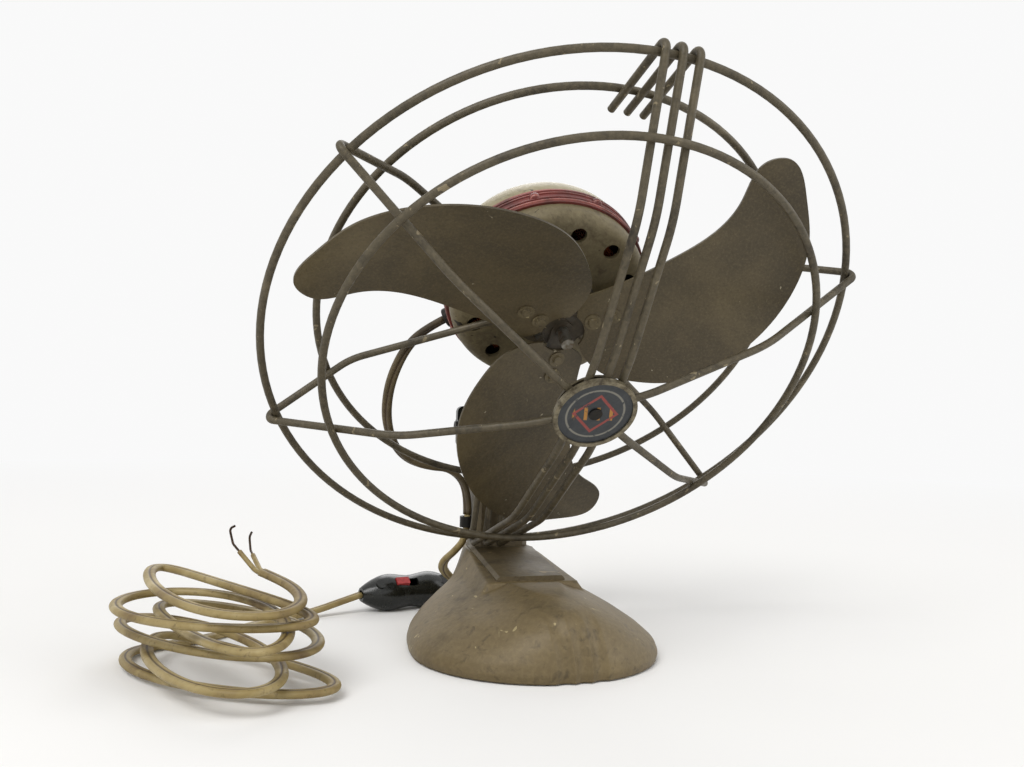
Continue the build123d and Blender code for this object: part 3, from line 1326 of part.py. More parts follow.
HANK_ROUTE = (
    (-71.0, 106.2, 10.65),
    (-83.0, 102.8, 7.8),
    (-95.0, 99.4, 4.8),
    (-107.0, 95.4, 2.9),
    (-119.2, 89.0, 2.55),
    (-130.0, 79.6, 2.55),
    (-140.5, 68.6, 2.55),
    (-150.5, 56.8, 2.55),
    (-164.9, 45.3, 2.55),
    (-177.33, 38.87, 2.55),
)
save(cord_tube(HANK_ROUTE, "flex to hank"), "flex_to_hank")

# the hank's free end is bare: two split cores, each with its stripped conductor bent to a hook
END_SIDE = END_DIR.cross(Vector(0, 0, 1)).normalized()
cores = []
conductors = []
for sign, length, spread, rise in zip((1, -1), CORE_LENGTHS, CORE_SPREADS, CORE_RISES):
    split = HANK_END + END_SIDE * (sign * CORE_OFFSET)
    tip = split + END_DIR * length + END_SIDE * (sign * spread) + Vector(0, 0, rise)
    with BuildPart() as core:
        with BuildLine() as core_path:
            FilletPolyline(split, split + END_DIR * 4.0, tip, radius=6.0)
        with BuildSketch(Plane(origin=core_path.wire() @ 0, z_dir=END_DIR)):
            Circle(CORE_D / 2)
        sweep(path=core_path.wire())
    cores.append(core.part)
    heading = core_path.wire() % 1
    with BuildPart() as conductor:
        with BuildLine() as conductor_path:
            FilletPolyline(
                tip,
                tip + heading * 5.0,
                tip + heading * 8.0 + Vector(0, 0, 5),
                tip + heading * 4.0 + Vector(0, 0, 9),
                radius=[2.0, 2.0],
            )
        with BuildSketch(Plane(origin=tip, z_dir=heading)):
            Circle(CONDUCTOR_D / 2)
        sweep(path=conductor_path.wire())
    conductors.append(conductor.part)
save(Compound(children=cores), "flex_split_cores")
save(Compound(children=conductors), "flex_bare_conductors")
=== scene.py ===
from math import cos, radians, sin

import bpy
import numpy as np
from mathutils import Matrix, Vector


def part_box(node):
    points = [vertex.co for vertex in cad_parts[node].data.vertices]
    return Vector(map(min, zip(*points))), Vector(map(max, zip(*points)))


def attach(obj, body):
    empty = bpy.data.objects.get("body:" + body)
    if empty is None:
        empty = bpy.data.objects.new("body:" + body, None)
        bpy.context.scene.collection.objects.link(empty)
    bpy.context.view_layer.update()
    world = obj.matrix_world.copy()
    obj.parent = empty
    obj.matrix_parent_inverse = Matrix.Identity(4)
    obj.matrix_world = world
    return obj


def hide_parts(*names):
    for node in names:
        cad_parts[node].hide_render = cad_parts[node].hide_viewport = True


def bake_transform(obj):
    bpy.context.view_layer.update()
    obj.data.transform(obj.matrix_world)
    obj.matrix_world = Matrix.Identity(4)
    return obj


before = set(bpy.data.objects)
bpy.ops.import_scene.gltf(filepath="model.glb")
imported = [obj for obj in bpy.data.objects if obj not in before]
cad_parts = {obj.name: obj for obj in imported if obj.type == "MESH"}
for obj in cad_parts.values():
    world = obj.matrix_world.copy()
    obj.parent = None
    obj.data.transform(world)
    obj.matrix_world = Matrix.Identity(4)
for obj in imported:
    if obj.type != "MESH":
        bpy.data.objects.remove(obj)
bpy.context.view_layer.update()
scene = bpy.context.scene
scene.view_settings.view_transform = "Standard"

# ---- camera --------------------------------------------------------------------------------
# The photograph's viewing angle: a little to the left of the front, at the height of the
# fan's neck, level to within a degree, and rolled slightly.
CAMERA_AT = (-0.1563, -0.4756, 0.1251)
CAMERA_AZIMUTH = -16.6
CAMERA_ELEVATION = -1.0
CAMERA_ROLL = 1.46
FOCAL_PIXELS = 1000.0
IMAGE_WIDTH = 1024.0
SENSOR = 36.0

turn, tilt, roll = (radians(a) for a in (CAMERA_AZIMUTH, CAMERA_ELEVATION, CAMERA_ROLL))
back = Vector((sin(turn) * cos(tilt), -cos(turn) * cos(tilt), sin(tilt)))
right = Vector((cos(turn), sin(turn), 0.0))
up = back.cross(right)
leaned_right = right * cos(roll) + up * sin(roll)
leaned_up = up * cos(roll) - right * sin(roll)
lens = bpy.data.cameras.new("camera")
lens.sensor_fit = "HORIZONTAL"
lens.sensor_width = SENSOR
lens.lens = SENSOR * FOCAL_PIXELS / IMAGE_WIDTH
lens.clip_start = 0.01
lens.clip_end = 40.0
camera = bpy.data.objects.new("camera", lens)
camera.matrix_world = Matrix(
    (
        (leaned_right.x, leaned_up.x, back.x, CAMERA_AT[0]),
        (leaned_right.y, leaned_up.y, back.y, CAMERA_AT[1]),
        (leaned_right.z, leaned_up.z, back.z, CAMERA_AT[2]),
        (0.0, 0.0, 0.0, 1.0),
    )
)
scene.collection.objects.link(camera)
scene.camera = camera


# ---- foot ----------------------------------------------------------------------------------
# A hollow casting, egg-shaped, with three shallow flutes in its nose and a sloped seat for the
# neck on top. Its sprayed olive-bronze enamel has gone chalky in patches and is specked with
# grime. A steel plate and a felt pad close it below.
def linear(hex_colour):
    """Linear RGBA of an sRGB hex colour: each channel by the sRGB curve."""
    levels = [int(hex_colour[k : k + 2], 16) / 255 for k in (1, 3, 5)]
    return [x / 12.92 if x <= 0.04045 else ((x + 0.055) / 1.055) ** 2.4 for x in levels] + [1.0]


def add(tree, kind, sockets=None, **settings):
    """Adds a node, sets its properties, and gives each named socket a value or a link."""
    made = tree.nodes.new(kind)
    for name, value in settings.items():
        setattr(made, name, value)
    for name, value in (sockets or {}).items():
        if isinstance(value, bpy.types.NodeSocket):
            tree.links.new(value, made.inputs[name])
        else:
            made.inputs[name].default_value = value
    return made


def new_material(name):
    """An empty node material, and its tree."""
    material = bpy.data.materials.new(name)
    material.use_nodes = True
    material.node_tree.nodes.clear()
    return material, material.node_tree


def finish_material(tree, colour, roughness, height=None, depth=0.0002, **fixed):
    """Shader and output: a colour, a roughness and a relief from sockets, the rest constant."""
    sockets = {"Base Color": colour, "Roughness": roughness}
    if height is not None:
        bump = add(tree, "ShaderNodeBump", {"Height": height, "Strength": 1.0, "Distance": depth})
        sockets["Normal"] = bump.outputs["Normal"]
    sockets.update({name.replace("_", " "): value for name, value in fixed.items()})
    shader = add(tree, "ShaderNodeBsdfPrincipled", sockets)
    add(tree, "ShaderNodeOutputMaterial", {"Surface": shader.outputs["BSDF"]})


def ramp(tree, factor, *stops):
    """Colour ramp over (place, colour) stops; a number stands for a grey."""
    made = add(tree, "ShaderNodeValToRGB", {"Fac": factor})
    elements = made.color_ramp.elements
    while len(elements) < len(stops):
        elements.new(0.5)
    for element, (place, colour) in zip(elements, stops):
        element.position = place
        element.color = [colour] * 3 + [1.0] if isinstance(colour, float) else colour
    return made.outputs["Color"]


def noise(tree, place, size_mm, detail=3.0, roughness=0.55, distortion=0.0):
    """Noise whose blobs are about that many millimetres across."""
    made = add(
        tree,
        "ShaderNodeTexNoise",
        {
            "Vector": place,
            "Scale": 500.0 / size_mm,
            "Detail": detail,
            "Roughness": roughness,
            "Distortion": distortion,
        },
    )
    return made.outputs["Fac"]


def mix(tree, factor, first, second, blend="MIX"):
    """Colour mix of two colours, each a socket or a value, by a factor."""
    made = add(tree, "ShaderNodeMix", data_type="RGBA", blend_type=blend)
    for index, value in ((0, factor), (6, first), (7, second)):
        if isinstance(value, bpy.types.NodeSocket):
            tree.links.new(value, made.inputs[index])
        else:
            made.inputs[index].default_value = value
    return made.outputs[2]


def maths(tree, operation, *values):
    """Result of a math node over one or two values, each a socket or a number."""
    return add(tree, "ShaderNodeMath", dict(enumerate(values)), operation=operation).outputs[0]


def object_place(tree):
    """Object coordinates, in metres."""
    return add(tree, "ShaderNodeTexCoord").outputs["Object"]


def distance_along(tree, centre, axis):
    """How far each point lies from the centre along the axis, times the axis's own length."""
    place = object_place(tree)
    local = add(tree, "ShaderNodeVectorMath", {0: place, 1: centre}, operation="SUBTRACT")
    return add(
        tree,
        "ShaderNodeVectorMath",
        {0: local.outputs["Vector"], 1: axis},
        operation="DOT_PRODUCT",
    ).outputs["Value"]


def worn_enamel(name, coat, pale, grime, bare, patch_mm, chip_mm, chip_share, gloss):
    """Old sprayed enamel: cloudy colour, dark grime in blotches, a grain of dust, and chips."""
    material, tree = new_material(name)
    place = object_place(tree)
    cloud = noise(tree, place, patch_mm, 4.0, 0.6, 0.4)
    colour = ramp(
        tree,
        cloud,
        (0.28, linear(grime)),
        (0.46, linear(coat)),
        (0.62, linear(coat)),
        (0.78, linear(pale)),
    )
    grain = noise(tree, place, 1.1, 2.0, 0.7)
    colour = mix(tree, ramp(tree, grain, (0.42, 0.0), (0.7, 0.32)), colour, linear(pale))
    soot = noise(tree, place, 2.6, 3.0, 0.7, 0.6)
    colour = mix(tree, ramp(tree, soot, (0.3, 0.55), (0.45, 0.0)), colour, linear(grime))
    spots = noise(tree, place, chip_mm, 2.0, 0.45, 0.8)
    chips = ramp(tree, spots, (1.0 - chip_share, 0.0), (1.015 - chip_share, 1.0))
    colour = mix(tree, chips, colour, linear(bare))
    rough = ramp(tree, cloud, (0.3, min(gloss + 0.22, 1.0)), (0.7, gloss))
    height = maths(tree, "ADD", grain, spots)
    finish_material(tree, colour, rough, height, 0.00012, Metallic=0.12)
    return material


def dress(material, *nodes):
    """Gives CAD nodes that material."""
    for name in nodes:
        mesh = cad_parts[name].data
        mesh.materials.clear()
        mesh.materials.append(material)


# cast zinc under chalky olive-bronze enamel: soft sheen, grime in the hollows
foot_enamel = worn_enamel(
    "olive_bronze_enamel_on_casting",
    coat="#6d5e40",
    pale="#8b7a55",
    grime="#3c3322",
    bare="#a3946c",
    patch_mm=46.0,
    chip_mm=4.0,
    chip_share=0.27,
    gloss=0.42,
)

# levels of the egg: height, half width, nose, widest line and tail, in millimetres
EGG = np.array(
    (
        (0.8, 60.8, 59.2, 0.0, 91.0),
        (4.0, 61.8, 60.0, 0.0, 92.0),
        (9.0, 60.0, 59.6, 2.0, 91.6),
        (15.0, 53.6, 58.6, 8.0, 90.8),
        (21.5, 44.0, 56.6, 16.0, 89.6),
        (27.5, 33.0, 52.5, 26.0, 88.2),
        (31.5, 24.0, 46.5, 34.0, 87.0),
        (33.0, 18.0, 40.0, 40.0, 86.4),
        (44.0, 2.0, -30.0, 45.0, 60.0),
    )
)
SEAT_LOW = (6.4, 34.55)     # y and z of the sloped seat's front edge
SEAT_HIGH = (57.1, 41.75)   # where it turns level
SEAT_START = 4.8            # y where the block under the seat starts
SEAT_END = 86.8             # y where it ends
SEAT_FRONT_HALF = 18.8      # its half width up to where it turns level
SEAT_REAR_HALF = 15.3       # its half width at the end
SEAT_MIDDLE = (0.0, 46.0)
BLOCK_FOOT = 9.0            # height at which the block begins to stand out of the egg
SKIRT_TOP = 44.2            # height below which the block's sides spread
SKIRT_DROP = 29.2           # so far below it they have spread by the next number
SKIRT_SPREAD = 24.0
FLUTE_MID = 5.0
FLUTE_STEP = 8.5
FLUTE_HALF = 4.1
FLUTE_LEAN = 3.5            # the flutes lean this far to the left at FLUTE_LEAN_Z
FLUTE_LEAN_Z = 30.0
FLUTE_LEVELS = (0.8, 4.0, 9.0, 15.0, 21.5, 27.0, 31.0)
FLUTE_DEPTHS = (1.5, 1.7, 1.9, 1.9, 1.6, 0.9, 0.0)
NOSE_END = 10.0             # y behind which there is no flute
UNDERSIDE = 3.4             # height of the flat that closes the casting above its plate
POINTS_AROUND = 720
SIDE_RINGS = 76


def egg_level(z):
    """Half width, nose, widest line and tail at heights z: straight between the levels, then
    rounded by averaging over 2.4 mm of height."""
    shifts = np.linspace(-1.2, 1.2, 7)
    return [
        sum(np.interp(z + shift, EGG[:, 0], EGG[:, k]) for shift in shifts) / 7
        for k in (1, 2, 3, 4)
    ]


def foot_reach(turn, z):
    """Distance of the casting's side from its upright axis, in the direction turn from the
    nose: the larger of the egg's and the seat block's, rounded where they meet."""
    half_w, nose, wide_y, tail = egg_level(z)
    dx, dy = np.sin(turn), -np.cos(turn)
    depth = np.where(dy < 0, nose + wide_y, tail - wide_y)
    egg = 1.0 / np.sqrt((dx / half_w) ** 2 + (dy / depth) ** 2)
    spread = SKIRT_SPREAD * np.clip((SKIRT_TOP - z) / SKIRT_DROP, 0.0, 1.3) ** 1.25
    front, rear = SEAT_FRONT_HALF + 0.85 * spread, SEAT_REAR_HALF + 0.4 * spread
    ahead = wide_y - (SEAT_START - 0.4 * spread)
    behind = SEAT_END + 0.1 * spread - wide_y
    slant = (front - rear) / (SEAT_END - SEAT_HIGH[0])
    edges = (
        np.maximum(-dy, 1e-6) / ahead,
        np.maximum(dy, 1e-6) / behind,
        np.abs(dx) / front,
        (np.abs(dx) + slant * dy) / (front + slant * (SEAT_HIGH[0] - wide_y)),
    )
    power = np.interp(z, (15.0, 36.0), (3.0, 40.0))
    block = sum(np.maximum(edge, 1e-6) ** power for edge in edges) ** (-1.0 / power)
    grown = np.clip((z - BLOCK_FOOT) / 8.0, 0.0, 1.0) ** 0.5
    block = np.where(z < BLOCK_FOOT, 0.0, block * grown)
    blend = np.interp(z, (20.0, 34.0), (5.0, 1.0))
    gap = np.clip(blend - np.abs(egg - block), 0.0, None)
    return np.maximum(egg, block) + gap**2 / (4 * blend), wide_y


def seat_height(y):
    """Height of the seat under the neck's plate, at y."""
    return np.interp(y, (SEAT_LOW[0], SEAT_HIGH[0]), (SEAT_LOW[1], SEAT_HIGH[1]))


def flute_depth(x, y, z):
    """Depth of the three round-bottomed flutes in the nose, fading out up its slope."""
    x = x + FLUTE_LEAN * (z / FLUTE_LEAN_Z) ** 1.5
    place = (x - FLUTE_MID) / FLUTE_STEP
    across = (place - np.clip(np.round(place), -1, 1)) * FLUTE_STEP / FLUTE_HALF
    fade = np.interp(z, FLUTE_LEVELS, FLUTE_DEPTHS)
    return np.where(y < NOSE_END, np.clip(1.0 - across**2, 0.0, None) * fade, 0.0)


def cast_foot():
    """Closed surface on a grid of direction by height: lip, side, and seat drawn in to a point."""
    turn = np.linspace(0.0, 2 * np.pi, POINTS_AROUND, endpoint=False)[None, :]
    top = np.full(turn.shape, 36.0)
    for _ in range(12):
        reach, wide_y = foot_reach(turn, top)
        top = 0.5 * top + 0.5 * seat_height(wide_y - reach * np.cos(turn))
    rise = np.linspace(0.0, 1.0, SIDE_RINGS)[:, None] ** 0.9
    z = EGG[0, 0] + (top - EGG[0, 0]) * rise
    reach, wide_y = foot_reach(turn, z)
    x, y = reach * np.sin(turn), wide_y - reach * np.cos(turn)
    cut = flute_depth(x, y, z)
    x, y = x - cut * np.sin(turn), y + cut * np.cos(turn)
    side = np.stack((x, y, z), axis=-1)
    inward = np.linspace(0.92, 0.04, 8)[:, None]
    seat_x = SEAT_MIDDLE[0] + (x[-1] - SEAT_MIDDLE[0]) * inward
    seat_y = SEAT_MIDDLE[1] + (y[-1] - SEAT_MIDDLE[1]) * inward
    seat = np.stack((seat_x, seat_y, seat_height(seat_y)), axis=-1)
    lip = side[:1] * np.array((0.94, 0.95, 1.0))
    roof = lip * np.array((1.0, 1.0, 0.0)) + np.array((0.0, 0.0, UNDERSIDE))
    pinch = roof * np.array((0.02, 0.02, 1.0))
    rings = np.concatenate((pinch, roof, lip, side, seat)) / 1000.0
    mesh = tube_mesh("cast_foot", rings)
    piece = bpy.data.objects.new("cast_foot", mesh)
    scene.collection.objects.link(piece)
    mesh.materials.append(foot_enamel)
    return piece


def tube_mesh(name, rings):
    """Closed mesh over rings of points, (ring, point, xyz), with a flat cap at each end."""
    count, around = rings.shape[:2]
    index = np.arange(count * around).reshape(count, around)
    after = np.roll(index, -1, axis=1)
    sides = np.stack((index[:-1], after[:-1], after[1:], index[1:]), axis=-1).reshape(-1, 4)
    faces = sides.tolist() + [index[0][::-1].tolist(), index[-1].tolist()]
    mesh = bpy.data.meshes.new(name)
    mesh.from_pydata(rings.reshape(-1, 3).tolist(), [], faces)
    mesh.polygons.foreach_set("use_smooth", np.r_[np.ones(len(sides), bool), False, False])
    return mesh


casting = cast_foot()
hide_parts("base_casting")
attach(casting, "stand")

# wool felt: matt, with short crossed fibres about 0.4 mm apart
felt, tree = new_material("wool_felt")
place = object_place(tree)
fibre = noise(tree, place, 0.8, 4.0, 0.8, 2.0)
finish_material(
    tree,
    ramp(tree, fibre, (0.3, linear("#1d201d")), (0.7, linear("#3c403a"))),
    ramp(tree, fibre, (0.3, 0.85), (0.7, 1.0)),
    fibre,
    0.0004,
)
dress(felt, "base_felt")

# bright steel of screws and washers, dulled and spotted with rust
steel, tree = new_material("dulled_steel")
place = object_place(tree)
rust = noise(tree, place, 2.2, 4.0, 0.65)
finish_material(
    tree,
    ramp(tree, rust, (0.4, linear("#8e8c84")), (0.58, linear("#6d6455")), (0.7, linear("#5a3f28"))),
    ramp(tree, rust, (0.35, 0.28), (0.65, 0.62)),
    rust,
    0.00005,
    Metallic=0.9,
)
dress(
    steel,
    "base_plate",
    "base_plate_screws",
    "neck_screws",
    "pivot_washers",
    "cord_clip_screw",
    "guard_clamp_screws",
    "fan_shaft",
    "thrust_collars",
    "hub_set_screw",
    "switch_screws",
)

# ---- neck ----------------------------------------------------------------------------------
# A second casting, bolted to the foot, whose two cheeks hold the head's stem between them on
# one bolt. Its enamel is the foot's, drawn darker as painted shade for its upright, which stands
# in the head's shadow; the stem's is darker still, also painted shade under the head.
# painted shade: the neck casting gets a darker copy of the foot's enamel for its shaded upright
neck_part_shade_enamel = worn_enamel(
    "olive_bronze_enamel_neck_part_painted_shade",
    coat="#5b4f37",
    pale="#786a4c",
    grime="#332a1c",
    bare="#8a7a56",
    patch_mm=20.0,
    chip_mm=3.0,
    chip_share=0.27,
    gloss=0.42,
)
# painted shade: the stem under the head gets a still darker copy of the enamel
stem_shade_enamel = worn_enamel(
    "olive_bronze_enamel_stem_painted_shade",
    coat="#453b2a",
    pale="#5f5238",
    grime="#1f1a12",
    bare="#8a7a56",
    patch_mm=24.0,
    chip_mm=3.4,
    chip_share=0.29,
    gloss=0.38,
)
dress(stem_shade_enamel, "head_stem")
dress(neck_part_shade_enamel, "neck_casting")

# blackened steel: oil-black finish, worn a little brown
blacking, tree = new_material("oil_blackened_steel")
place = object_place(tree)
worn = noise(tree, place, 3.0, 4.0, 0.65)
finish_material(
    tree,
    ramp(
        tree,
        worn,
        (0.35, linear("#151412")),
        (0.6, linear("#26221c")),
        (0.75, linear("#4b3c2a")),
    ),
    ramp(tree, worn, (0.3, 0.35), (0.7, 0.6)),
    worn,
    0.00006,
    Metallic=0.55,
)
dress(blacking, "pivot_bolt", "cord_clip", "badge_rivet", "motor_gland", "oiler_cap")

# phenolic resin moulding: deep black, glossy, with a fine haze of scratches
resin, tree = new_material("black_phenolic_resin")
place = object_place(tree)
haze = noise(tree, place, 1.4, 5.0, 0.7, 1.0)
finish_material(
    tree,
    ramp(tree, haze, (0.35, linear("#121311")), (0.7, linear("#22241f"))),
    ramp(tree, haze, (0.35, 0.14), (0.7, 0.34)),
    haze,
    0.00002,
)
dress(resin, "tilt_wing_nut", "switch_upper_shell", "switch_lower_shell")

# ---- motor ---------------------------------------------------------------------------------
# Two pressed bells with a band between them. The bells are cream enamel, browned by dust and
# oil; the front bell's copy is drawn darker as painted shade, as it faces down under the head.
# The band is red enamel with paler rings that a brush left as it turned on its axis.
HEAD_AT = Vector((0.0, -0.035287, 0.155566))
HEAD_TILT = 40.2
forward = Vector((0.0, -cos(radians(HEAD_TILT)), -sin(radians(HEAD_TILT))))


def along_motor(tree):
    """Millimetres along the motor's axis, forwards, from the middle of the guard's ring."""
    return distance_along(tree, HEAD_AT, [1000.0 * x for x in forward])


cream = worn_enamel(
    "aged_cream_enamel",
    coat="#8f8464",
    pale="#aca07c",
    grime="#554a33",
    bare="#38301f",
    patch_mm=30.0,
    chip_mm=3.0,
    chip_share=0.27,
    gloss=0.36,
)
dress(cream, "motor_rear_bell")
# painted shade: the front bell, facing down under the head, gets a darker copy of the cream
shaded_front_cream = worn_enamel(
    "cream_enamel_painted_shade",
    coat="#6f6449",
    pale="#8d8261",
    grime="#453b28",
    bare="#2c2518",
    patch_mm=26.0,
    chip_mm=2.6,
    chip_share=0.28,
    gloss=0.42,
)
dress(shaded_front_cream, "motor_front_bell")

red, tree = new_material("ringed_red_enamel")
place = object_place(tree)
wobble = noise(tree, place, 14.0, 2.0, 0.5)
shifted = maths(tree, "ADD", along_motor(tree), wobble)
rings = maths(tree, "SINE", maths(tree, "MULTIPLY", shifted, 1.9))
streaks = mix(
    tree,
    ramp(tree, rings, (0.55, 0.0), (0.95, 0.7)),
    linear("#74302a"),
    linear("#b8766a"),
)
dirt = noise(tree, place, 12.0, 4.0, 0.65)
finish_material(
    tree,
    mix(tree, ramp(tree, dirt, (0.42, 0.75), (0.6, 0.0)), streaks, linear("#3a1f1a")),
    ramp(tree, dirt, (0.3, 0.55), (0.7, 0.34)),
    rings,
    0.00006,
)
dress(red, "motor_band")

# stacked steel sheets 0.5 mm thick, drawn 1 mm thick so that they show, in a brown varnish
laminated, tree = new_material("varnished_steel_laminations")
sheets = maths(tree, "SINE", maths(tree, "MULTIPLY", along_motor(tree), 6.28))
finish_material(
    tree,
    ramp(tree, sheets, (0.2, linear("#2a2219")), (0.8, linear("#6a6258"))),
    ramp(tree, sheets, (0.0, 0.6), (1.0, 0.35)),
    sheets,
    0.0001,
    Metallic=0.7,
)
dress(laminated, "stator_core", "rotor_core")

# enamelled copper wire of 0.4 mm, drawn 0.8 mm so that it shows
copper, tree = new_material("enamelled_copper_wire")
place = object_place(tree)
windings = add(
    tree,
    "ShaderNodeTexWave",
    {"Vector": place, "Scale": 400.0, "Distortion": 3.0, "Detail": 1.0},
).outputs["Fac"]
finish_material(
    tree,
    ramp(tree, windings, (0.1, linear("#4a2412")), (0.8, linear("#a3552a"))),
    ramp(tree, windings, (0.0, 0.5), (1.0, 0.25)),
    windings,
    0.0002,
    Metallic=0.8,
)
dress(copper, "stator_coils")

# sintered bronze, dark with oil
bronze, tree = new_material("oily_sintered_bronze")
place = object_place(tree)
pores = noise(tree, place, 0.6, 3.0, 0.7)
finish_material(
    tree,
    ramp(tree, pores, (0.35, linear("#4c3516")), (0.65, linear("#94703a"))),
    ramp(tree, pores, (0.3, 0.5), (0.7, 0.3)),
    pores,
    0.00005,
    Metallic=0.9,
)
dress(bronze, "front_bush", "rear_bush", "switch_terminals")

# ---- guard ---------------------------------------------------------------------------------
# Drawn steel wire, bent and spot-welded, then dipped in the foot's enamel. Dust has settled
# into it, and it is chipped in small spots.
wire_enamel = worn_enamel(
    "olive_bronze_enamel_on_wire",
    coat="#4d4533",
    pale="#726750",
    grime="#2a2418",
    bare="#7f7359",
    patch_mm=13.0,
    chip_mm=2.2,
    chip_share=0.31,
    gloss=0.4,
)
dress(
    wire_enamel,
    "guard_outer_ring",
    "guard_front_ring",
    "guard_rear_ring",
    "guard_wire_a",
    "guard_wire_b",
    "guard_wire_c",
    "guard_wire_d",
    "guard_triple_top",
    "guard_triple_bottom",
    "guard_clamp_plate",
    "badge_back_plate",
)

# ---- badge ---------------------------------------------------------------------------------
# A pressed disc, enamelled dark blue-grey, held by its rim and by one rivet. Its face has a
# plain grey ring, a red lozenge and a row of short orange bars, rubbed through in places.
BADGE_R = 0.0175


def badge_coat():
    """Dark enamel with bars, a lozenge and a ring, by place on the disc in badge radii."""
    material, tree = new_material("dark_badge_enamel")
    low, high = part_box("badge_face")
    centre = (low + high) / 2
    head_up = Vector((0.0, -sin(radians(HEAD_TILT)), cos(radians(HEAD_TILT))))
    across, upwards = (
        distance_along(tree, centre, [x / BADGE_R for x in axis])
        for axis in (Vector((1.0, 0.0, 0.0)), head_up)
    )
    disc = add(tree, "ShaderNodeCombineXYZ", {"X": across, "Y": upwards}).outputs["Vector"]
    radius = add(tree, "ShaderNodeVectorMath", {0: disc}, operation="LENGTH").outputs["Value"]
    wear = noise(tree, object_place(tree), 3.0, 4.0, 0.7, 0.6)
    colour = ramp(tree, wear, (0.35, linear("#262a2e")), (0.65, linear("#3a3d3f")))
    slant = maths(tree, "ADD", across, maths(tree, "MULTIPLY", upwards, 0.18))
    bars = maths(tree, "SINE", maths(tree, "MULTIPLY", slant, 19.0))
    strip = ramp(tree, maths(tree, "ABSOLUTE", upwards), (0.19, 1.0), (0.215, 0.0))
    inside = ramp(tree, radius, (0.56, 1.0), (0.6, 0.0))
    band = mix(tree, 1.0, strip, inside, "MULTIPLY")
    on_bars = mix(tree, 1.0, band, ramp(tree, bars, (0.6, 0.0), (0.72, 1.0)), "MULTIPLY")
    sides = (maths(tree, "ABSOLUTE", across), maths(tree, "ABSOLUTE", upwards))
    lozenge = maths(tree, "ADD", *sides)
    on_lozenge = ramp(tree, lozenge, (0.5, 0.0), (0.52, 1.0), (0.6, 1.0), (0.62, 0.0))
    on_ring = ramp(tree, radius, (0.7, 0.0), (0.72, 1.0), (0.75, 1.0), (0.77, 0.0))
    unworn = ramp(tree, wear, (0.36, 0.0), (0.44, 1.0))
    for drawn, paint in ((on_bars, "#ad7830"), (on_lozenge, "#8c3c36"), (on_ring, "#7d7a70")):
        left = mix(tree, 1.0, drawn, unworn, "MULTIPLY")
        colour = mix(tree, left, colour, linear(paint))
    rough = ramp(tree, wear, (0.3, 0.3), (0.7, 0.5))
    finish_material(tree, colour, rough, wear, 0.00004, Metallic=0.1)
    return material


dress(badge_coat(), "badge_face")

# rolled rim, the enamel rubbed off its crest to dull metal
rim_metal, tree = new_material("rubbed_rim_metal")
place = object_place(tree)
rub = noise(tree, place, 2.0, 4.0, 0.7)
finish_material(
    tree,
    ramp(tree, rub, (0.35, linear("#4b4335")), (0.6, linear("#857c66"))),
    ramp(tree, rub, (0.3, 0.5), (0.7, 0.3)),
    rub,
    0.00005,
    Metallic=0.6,
)
dress(rim_metal, "badge_rim")

# ---- blades --------------------------------------------------------------------------------
# Three blades blanked from sheet, pressed to their twist and riveted to a spider on the
# shaft. The same enamel, dusty and sprayed thick enough to have an orange-peel skin, is
# chipped in small spots.
blade_enamel, tree = new_material("olive_bronze_enamel_on_sheet")
place = object_place(tree)
cloud = noise(tree, place, 38.0, 4.0, 0.6, 0.5)
colour = ramp(
    tree,
    cloud,
    (0.3, linear("#3a3222")),
    (0.5, linear("#4a402b")),
    (0.72, linear("#62563b")),
)
dust = noise(tree, place, 0.6, 2.0, 0.8)
colour = mix(tree, ramp(tree, dust, (0.5, 0.0), (0.72, 0.26)), colour, linear("#766a4c"))
colour = mix(tree, ramp(tree, dust, (0.3, 0.3), (0.44, 0.0)), colour, linear("#2a2317"))
scuff = noise(tree, place, 9.0, 5.0, 0.75, 1.2)
fleck = noise(tree, place, 2.2, 2.0, 0.5, 1.0)
rubbed = maths(tree, "MULTIPLY", maths(tree, "ADD", scuff, fleck), 0.5)
chips = ramp(tree, rubbed, (0.655, 0.0), (0.675, 1.0))
colour = mix(tree, chips, colour, linear("#9a9078"))
peel = noise(tree, place, 1.3, 1.0, 0.4)
finish_material(
    tree,
    colour,
    ramp(tree, cloud, (0.3, 0.5), (0.7, 0.34)),
    peel,
    0.00012,
    Metallic=0.15,
)
dress(blade_enamel, "fan_blade_1", "fan_blade_2", "fan_blade_3")
rivet_enamel = worn_enamel(
    "olive_bronze_enamel_on_rivets",
    coat="#5c5138",
    pale="#7c6f4f",
    grime="#2a2316",
    bare="#948763",
    patch_mm=5.0,
    chip_mm=1.6,
    chip_share=0.33,
    gloss=0.38,
)
dress(rivet_enamel, "rivet_washers", "blade_rivets")
# painted shade: the spider, sitting in the shadow between the blades, is drawn near black
spider_shade_enamel = worn_enamel(
    "olive_bronze_enamel_hub_painted_shade",
    coat="#332b1d",
    pale="#4b4130",
    grime="#17130c",
    bare="#7c6f50",
    patch_mm=9.0,
    chip_mm=2.0,
    chip_share=0.31,
    gloss=0.42,
)
dress(spider_shade_enamel, "hub_spider")

# ---- flex ----------------------------------------------------------------------------------
# Twin flex: two stranded cores side by side in one tan rubber skin with a groove between
# them, 5.6 mm wide and 3.3 mm thick. It leaves the motor by a gland, is held to the neck by
# a clip, goes through the switch and ends in a loose hank with two bare ends.
LOBE_R = 0.00165
LOBE_OFFSET = 0.00115
SECTION_POINTS = 24
GROOVE_HALF = 0.0006        # half width of the dark strip in the groove
SIDE_SHARE = 0.35           # how much the wide way leans to the given side


